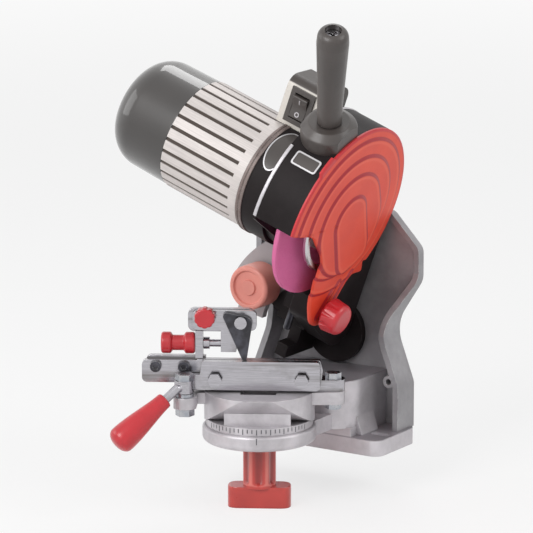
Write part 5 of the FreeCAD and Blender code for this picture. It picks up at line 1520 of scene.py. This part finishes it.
@dataclass
class CoverLip:
    """Bright rolled lip behind the cover's mouth."""

    radius: float = 44.0
    width: float = 4.2
    left: float = 8.6
    overlap: float = 0.1           # into the cover
    ease: float = 1.2
    start: float = 189.0           # degrees from the rear over the top
    stop: float = 262.0

    def dress(self, wardrobe: Wardrobe) -> None:
        """Builds the lip and finishes it.

        Args:
            wardrobe: the finishes.
        """
        mesh = Mesh("mouth_lip", Place.HEAD)
        section = bar_section(self.left, COVER_FACE + self.overlap, self.radius,
                              self.radius + self.width, self.ease)
        sweep(mesh, section, self.start, self.stop, about_wheel)
        wardrobe.wear(mesh.finish("head"), "flange_steel")


@dataclass
class GuardEdgeHighlight:
    """Pale strip on the guard's left edge, a painted highlight of that edge, before and behind
    the handle's foot.
    """

    width: float = 2.6
    left: float = 0.3              # past the guard's left side
    proud: float = 0.5
    sunk: float = 0.6
    ease: float = 0.4
    stretches: tuple[Span, ...] = ((134.0, 181.5), (6.0, 97.0))    # degrees over the top

    def dress(self, wardrobe: Wardrobe) -> None:
        """Builds both stretches and finishes them.

        Args:
            wardrobe: the finishes.
        """
        mesh = Mesh("guard_edge_trim", Place.HEAD)
        section = bar_section(GUARD_LEFT - self.left, GUARD_LEFT + self.width,
                              GUARD_R - self.sunk, GUARD_R + self.proud, self.ease)
        for start, stop in self.stretches:
            sweep(mesh, section, start, stop, about_wheel)
        # pale metal that stands in for the highlight along the guard's edge
        wardrobe.wear(mesh.finish("head"), "cast_aluminium")


@dataclass
class BarePlate:
    """Blank plate bent to a round wall, with a raised rim."""

    name: str
    outline: list[Vector]
    rim: list[Vector]
    along: float                   # its middle, along the wheel's axis
    degrees: float                 # its middle, from the rear over the top
    radius: float
    slot: str = "dark_plastic"
    rim_slot: str = "scale_plate"
    thick: float = 0.55
    edge_drop: float = 0.1
    rim_thick: float = 0.8
    sunk: float = 0.1

    def lift(self, spot: Vector, depth: float) -> Spot:
        """Bends a flat point to the wall."""
        turn = math.degrees(spot.y / self.radius)
        return about_wheel(self.along + spot.x, self.radius + depth - self.sunk,
                           self.degrees + turn)

    def dress(self, wardrobe: Wardrobe) -> None:
        """Builds the plate and its rim and finishes them.

        Args:
            wardrobe: the finishes.
        """
        face = Mesh(self.name, Place.HEAD)
        plate(face, self.outline, MIDDLE, self.thick, self.edge_drop, self.lift)
        wardrobe.wear(face.finish("head"), self.slot)
        edge = Mesh(self.name + "_rim", Place.HEAD)
        frame_strip(edge, self.outline, self.rim, self.rim_thick, self.lift)
        wardrobe.wear(edge.finish("head"), self.rim_slot)


@dataclass
class FlangeRing:
    """Beaded ring between the ribbed motor tube and its flange."""

    gap: float = 0.4               # from the flange's left side
    width: float = 5.6
    proud: float = 0.8
    sunk: float = 0.2
    ease_across: float = 0.4
    ease_down: float = 0.3
    groove_top: float = 0.8        # half width
    groove_foot: float = 0.4       # half width
    groove_deep: float = 0.6
    steps: int = 120

    def section(self) -> list[Span]:
        """Section of two beads with a groove between them.

        Returns:
            (along, radius) points.
        """
        low = FLANGE_LEFT + self.gap
        high = low + self.width
        base = FLANGE_R - self.sunk
        crest = FLANGE_R + self.proud
        middle = (low + high) / 2
        return [(low, base), (low, crest - self.ease_down), (low + self.ease_across, crest),
                (middle - self.groove_top, crest),
                (middle - self.groove_foot, crest - self.groove_deep),
                (middle + self.groove_foot, crest - self.groove_deep),
                (middle + self.groove_top, crest),
                (high - self.ease_across, crest), (high, crest - self.ease_down), (high, base)]

    def dress(self, wardrobe: Wardrobe) -> None:
        """Builds the ring and finishes it.

        Args:
            wardrobe: the finishes.
        """
        mesh = Mesh("flange_ring", Place.HEAD)
        sweep(mesh, self.section(), 0.0, 360.0, about_wheel, self.steps)
        wardrobe.wear(mesh.finish("head"), "wing_grey")


@dataclass
class RockerMarks:
    """Raised I and O on the two halves of the rocker."""

    across: float = -50.0          # rocker's middle, in the head's frame
    face: float = -54.0
    height: float = 275.5
    axle: float = 1.0              # depth of the rocker's axle behind its face
    ridge: float = 1.2             # how far the rocker's middle stands out
    tip: float = 8.0               # degrees that the rocker is tipped by
    slope: float = 14.2            # degrees that each half leans by
    reach: float = 5.4             # from the axle to the middle of a mark
    bar: Corner = (0.55, 2.1, 0.3)     # the I: half width, half height, corner
    ring: Span = (2.1, 1.3)        # the O: outer and inner radius
    ring_steps: int = 48
    thick: float = 0.3
    edge_drop: float = 0.05
    sunk: float = 0.05
    rings: int = 3

    def dress(self, wardrobe: Wardrobe) -> None:
        """Builds both marks and finishes them.

        Args:
            wardrobe: the finishes.
        """
        mesh = Mesh("rocker_marks", Place.HEAD)
        plate(mesh, panel(*self.bar), MIDDLE, self.thick, self.edge_drop, self._half(1.0),
              self.rings)
        outer, inner = (oval(radius, radius, self.ring_steps) for radius in self.ring)
        frame_strip(mesh, outer, inner, self.thick, self._half(-1.0))
        wardrobe.wear(mesh.finish("switch"), "cast_aluminium")

    def _half(self, side: float) -> Lift:
        """Way onto one half of the rocker.

        Args:
            side: 1 for the upper half, -1 for the lower.
        Returns:
            The lift onto that half.
        """
        lean = math.radians(self.slope * side)
        middle = -self.ridge - self.reach * math.tan(math.radians(self.slope)) + self.sunk
        tip = Matrix.Rotation(math.radians(self.tip), 3, "X")
        pivot = Vector((self.across, self.face + self.axle, self.height))

        def lift(spot: Vector, depth: float) -> Vector:
            """Point of a mark.

            Args:
                spot: flat point about the mark's middle.
                depth: height above the rocker.
            Returns:
                The point in the head's frame.
            """
            out = Vector((0.0, -math.cos(lean), -math.sin(lean))) * depth
            up = Vector((0.0, -math.sin(lean), math.cos(lean))) * spot.y
            flat = Vector((spot.x, middle - self.axle, side * self.reach)) + up + out
            return pivot + tip @ flat
        return lift


@dataclass
class TurnScale:
    """Degree marks on the turntable's rim, and the seat's index mark."""

    span: int = 60                 # degrees to each side
    step: int = 5
    long_step: int = 15
    longer: float = 1.2
    front: float = 270.0           # degrees from the right
    half_width: float = 0.35
    proud: float = 0.12
    sunk: float = 0.2
    low: float = 34.2
    below_top: float = 0.6         # the marks end so far below the turntable's top
    seat_r: float = 45.0
    seat_top: float = 32.0
    index: Span = (6.0, 0.8)       # its foot and head below the seat's top

    def dress(self, wardrobe: Wardrobe) -> None:
        """Builds the marks and finishes them.

        Args:
            wardrobe: the finishes.
        """
        marks = Mesh("turn_marks", Place.VISE)
        for degrees in range(-self.span, self.span + 1, self.step):
            low = self.low - (self.longer if degrees % self.long_step == 0 else 0.0)
            self._mark(marks, TABLE_R, low, TABLE_TOP - self.below_top, self.front + degrees)
        wardrobe.wear(marks.finish("turntable"), "dark_steel")
        index = Mesh("index_mark", Place.VISE)
        foot, head = (self.seat_top - below for below in self.index)
        self._mark(index, self.seat_r, foot, head, self.front)
        wardrobe.wear(index.finish("base"), "dark_steel")

    def _mark(self, mesh: Mesh, radius: float, low: float, high: float, degrees: float) -> None:
        """One upright mark on a round rim.

        Args:
            mesh: where it is added.
            radius: the rim's radius.
            low, high: heights of its ends.
            degrees: where on the rim it stands.
        """
        half = math.degrees(self.half_width / radius)
        section = [(low, radius - self.sunk), (low, radius + self.proud),
                   (high, radius + self.proud), (high, radius - self.sunk)]
        sweep(mesh, section, degrees - half, degrees + half, about_table, 1)


@dataclass
class LeverGrip:
    """Tapered grip of the cam lever, with a domed end."""

    start: Spot = (-71.5, -34.5, 59.0)
    end: Spot = (-109.0, -54.5, 27.0)
    bore: float = 3.6
    thin: float = 6.5
    thick: float = 11.0
    foot: tuple[Span, ...] = ((0.0, 1.2), (0.6, 0.3), (2.0, 0.0))  # along, under the thin radius
    swell: float = 0.8             # power of the taper's curve
    swell_steps: int = 30
    dome: float = 7.0
    dome_steps: int = 12
    dome_core: float = 5.0         # radius whose curve is a plain round
    dome_power: float = 0.7        # curve of the rest, which is fuller
    dome_last: float = 0.995       # share of the curve where the end's flat begins

    def profile(self) -> list[Span]:
        """Outline of the grip from its foot to its end.

        Returns:
            (along, radius) points.
        """
        points = [(0.0, self.bore)] + [(along, self.thin - under) for along, under in self.foot]
        taper_start = self.foot[-1][0]
        long = (Vector(self.end) - Vector(self.start)).length
        for step in range(1, self.swell_steps):
            share = step / self.swell_steps
            radius = self.thin + (self.thick - self.thin) * eased(share) ** self.swell
            points.append((taper_start + (long - self.dome - taper_start) * share, radius))
        for step in range(1, self.dome_steps + 1):
            angle = math.pi / 2 * min(step / self.dome_steps, self.dome_last)
            full = (self.thick - self.dome_core) * math.cos(angle) ** self.dome_power
            radius = full + self.dome_core * math.cos(angle)
            points.append((long - self.dome * (1 - math.sin(angle)), radius))
        return points

    def dress(self, wardrobe: Wardrobe) -> None:
        """Builds the grip, finishes it, and hides the plain one.

        Args:
            wardrobe: the finishes.
        """
        start = Vector(self.start)
        mesh = Mesh("lever_grip_skin", Place.VISE)
        lathe(mesh, self.profile(), start, Vector(self.end) - start)
        piece = mesh.finish("clamp_lever", SHARP_ROUND)
        wardrobe.wear(piece, "red_knob")
        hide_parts("lever_grip")


@dataclass
class LockKnob:
    """T-shaped lock knob: a stem with deep flutes on a rounded bar."""

    bar: Corner = (25.0, 10.0, 9.0)    # half length, half width, corner
    bar_height: float = 17.0
    bar_drop: float = 0.9
    bar_rings: int = 4
    bottom: float = -35.0
    radius: float = 13.0
    flutes: int = 6
    depth: float = 2.6
    crest: float = 300.0           # degrees of one crest
    turn_step: int = 3
    foot_levels: tuple[Span, ...] = ((-1.0, 0.0), (1.5, 0.0), (4.0, 1.0))
    head_levels: tuple[Span, ...] = ((-3.0, 1.0), (-0.8, 1.0), (0.0, 0.9))

    def dress(self, wardrobe: Wardrobe) -> None:
        """Builds the knob, finishes it, and hides the plain one.

        Args:
            wardrobe: the finishes.
        """
        mesh = Mesh("fluted_lock_knob", Place.VISE)
        plate(mesh, panel(*self.bar), MIDDLE, self.bar_height, self.bar_drop, self._lift,
              self.bar_rings)
        foot = self.bottom + self.bar_height
        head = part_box("vise_lock_knob")[1][2] / MM
        rows = [self._section(mesh, base + over, share)
                for base, levels in ((foot, self.foot_levels), (head, self.head_levels))
                for over, share in levels]
        mesh.bridge(rows)
        mesh.cap(rows[0], rows[-1])
        piece = mesh.finish("vise_lock", SHARP_ROUND)
        wardrobe.wear(piece, "dark_red_knob")
        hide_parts("vise_lock_knob")

    def _lift(self, spot: Vector, depth: float) -> Spot:
        """Point of the bar in the vise's frame."""
        return spot.x, spot.y, self.bottom + depth

    def _section(self, mesh: Mesh, height: float, share: float) -> list[bmesh.types.BMVert]:
        """Row of points around the stem.

        Args:
            mesh: where it is added.
            height: its height.
            share: how much of the flutes' depth it has.
        Returns:
            The row.
        """
        row = []
        for degrees in range(0, 360, self.turn_step):
            hollow = math.sin(math.radians((degrees - self.crest) * self.flutes / 2)) ** 2
            row.append(about_table(height, self.radius - self.depth * share * hollow, degrees))
        return mesh.ring(row)


PIECES: tuple[SubAssembly, ...] = (
    WheelCover(), CoverLip(), GuardEdgeHighlight(), FlangeRing(), RockerMarks(), TurnScale(), LeverGrip(),
    LockKnob(),
    BarePlate("motor_plate", outline=oval(9.8, 20.5), rim=oval(8.7, 19.4), along=-42.0,
              degrees=128.7, radius=FLANGE_R),
    BarePlate("guard_plate", outline=panel(11.5, 6.0, 2.5), rim=panel(10.2, 4.7, 1.6),
              along=-3.0, degrees=139.5, radius=GUARD_R),
)


# ---------------------------------------------------------------- studio
def direction(azimuth: float, elevation: float) -> Vector:
    """Way from the object towards a place around it.

    Args:
        azimuth: degrees from the front towards the right.
        elevation: degrees above the bench.
    Returns:
        Vector of length one.
    """
    turn = math.radians(azimuth)
    rise = math.radians(elevation)
    return Vector((math.sin(turn) * math.cos(rise), -math.cos(turn) * math.cos(rise),
                   math.sin(rise)))


def stand(item: bpy.types.Object, aim: Vector, towards: Vector, distance: float) -> None:
    """Stands a camera or a lamp in the scene, level and turned to what it aims at.

    Args:
        item: the camera or lamp.
        aim: the point that it aims at.
        towards: direction from that point to it.
        distance: how far from the point it stands.
    """
    bpy.context.scene.collection.objects.link(item)
    item.location = aim + towards * distance
    item.rotation_mode = "QUATERNION"
    item.rotation_quaternion = (-towards).to_track_quat("-Z", "Y")


@dataclass(frozen=True)
class Lamp:
    """Soft square lamp, aimed at the object."""

    name: str
    azimuth: float                 # degrees, as the elevation
    elevation: float
    distance: float                # metres, as the size
    size: float
    power: float                   # watts

    def hang(self, aim: Vector) -> None:
        """Makes the lamp.

        Args:
            aim: the point that it aims at.
        """
        data = bpy.data.lights.new(self.name, "AREA")
        data.shape = "SQUARE"
        data.size = self.size
        data.energy = self.power
        stand(bpy.data.objects.new(self.name, data), aim,
              direction(self.azimuth, self.elevation), self.distance)


@dataclass
class Studio:
    """Camera, floor, world and lamps."""

    azimuth: float = 33.0
    elevation: float = 12.6
    distance: float = 3.2
    aim: Spot = (-0.0137, -0.0528, 0.1507)
    lens: float = 274.0
    sensor: float = 36.0
    world_level: float = 0.42
    floor_half: float = 4.0
    floor_tone: float = 0.86
    floor_glow: float = 0.7
    shadow_reach: float = 0.7      # the floor starts to turn white here
    white_from: float = 0.9        # share of the floor's half width where it is white
    lamps: tuple[Lamp, ...] = (
        Lamp("key", azimuth=-4.0, elevation=30.0, distance=1.8, size=0.9, power=15.0),
        Lamp("side", azimuth=-62.0, elevation=24.0, distance=1.9, size=1.1, power=6.0),
        Lamp("fill", azimuth=98.0, elevation=38.0, distance=1.8, size=0.9, power=7.0),
        Lamp("back", azimuth=205.0, elevation=55.0, distance=1.8, size=0.7, power=6.0),
    )

    def build(self) -> None:
        """Makes the whole studio."""
        self._camera()
        self._world()
        self._floor()
        for lamp in self.lamps:
            lamp.hang(Vector(self.aim))

    def _camera(self) -> None:
        """Camera at the viewing angle, level, without shift."""
        data = bpy.data.cameras.new("camera")
        data.lens = self.lens
        data.sensor_width = self.sensor
        camera = bpy.data.objects.new("camera", data)
        stand(camera, Vector(self.aim), direction(self.azimuth, self.elevation), self.distance)
        bpy.context.scene.camera = camera

    def _world(self) -> None:
        """White surroundings, and a plain level of light from them."""
        world = bpy.data.worlds.new("surroundings")
        bpy.context.scene.world = world
        world.use_nodes = True
        tree = Tree(world.node_tree)
        light, white = (tree.node("ShaderNodeBackground", {},
                                  {"Color": (1, 1, 1), "Strength": strength})
                        for strength in (self.world_level, 1.0))
        tree.sink("ShaderNodeOutputWorld",
                  tree.node("ShaderNodeMixShader", {}, {0: tree.seen(), 1: light, 2: white}))

    def _floor(self) -> None:
        """Pale floor at the lowest point: it keeps the shadow, and turns white far away."""
        half = self.floor_half
        low = CAD_BOX[0].z
        data = bpy.data.meshes.new("floor")
        data.from_pydata([(-half, -half, low), (half, -half, low), (half, half, low),
                          (-half, half, low)], [], [(0, 1, 2, 3)])
        floor = bpy.data.objects.new("floor", data)
        bpy.context.scene.collection.objects.link(floor)
        data.materials.append(self._floor_paper())

    def _floor_paper(self) -> bpy.types.Material:
        """Matt paper that partly glows for the camera, and wholly far away.

        Returns:
            The material.
        """
        material = bpy.data.materials.new("floor_paper")
        material.use_nodes = True
        tree = Tree(material.node_tree)
        matt = tree.node("ShaderNodeBsdfDiffuse", {}, {"Color": (self.floor_tone,) * 3})
        glow = tree.node("ShaderNodeEmission", {}, {"Strength": 1.0})
        place = tree.node("ShaderNodeTexCoord", {}, {}, "Object")
        away = tree.node("ShaderNodeVectorMath", {"operation": "LENGTH"}, {0: place}, "Value")
        white_at = self.white_from * self.floor_half
        rest = away.ease(self.shadow_reach, white_at) * (1.0 - self.floor_glow)
        share = tree.seen() * (rest + self.floor_glow)
        tree.sink("ShaderNodeOutputMaterial",
                  tree.node("ShaderNodeMixShader", {}, {0: share, 1: matt, 2: glow}))
        return material


def main() -> None:
    """Builds the studio, dresses every node and adds the modelled pieces."""
    logging.basicConfig(level=logging.INFO, format="%(message)s")
    Studio().build()
    wardrobe = Wardrobe()
    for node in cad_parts.values():
        wardrobe.dress(node)
    LOG.info("dressed %d nodes with %d finishes", len(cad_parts), len(FINISHES))
    for piece in PIECES:
        piece.dress(wardrobe)
        LOG.info("built %s", type(piece).__name__)
    bpy.context.scene.view_settings.view_transform = "Standard"


if __name__ == "__main__":
    main()
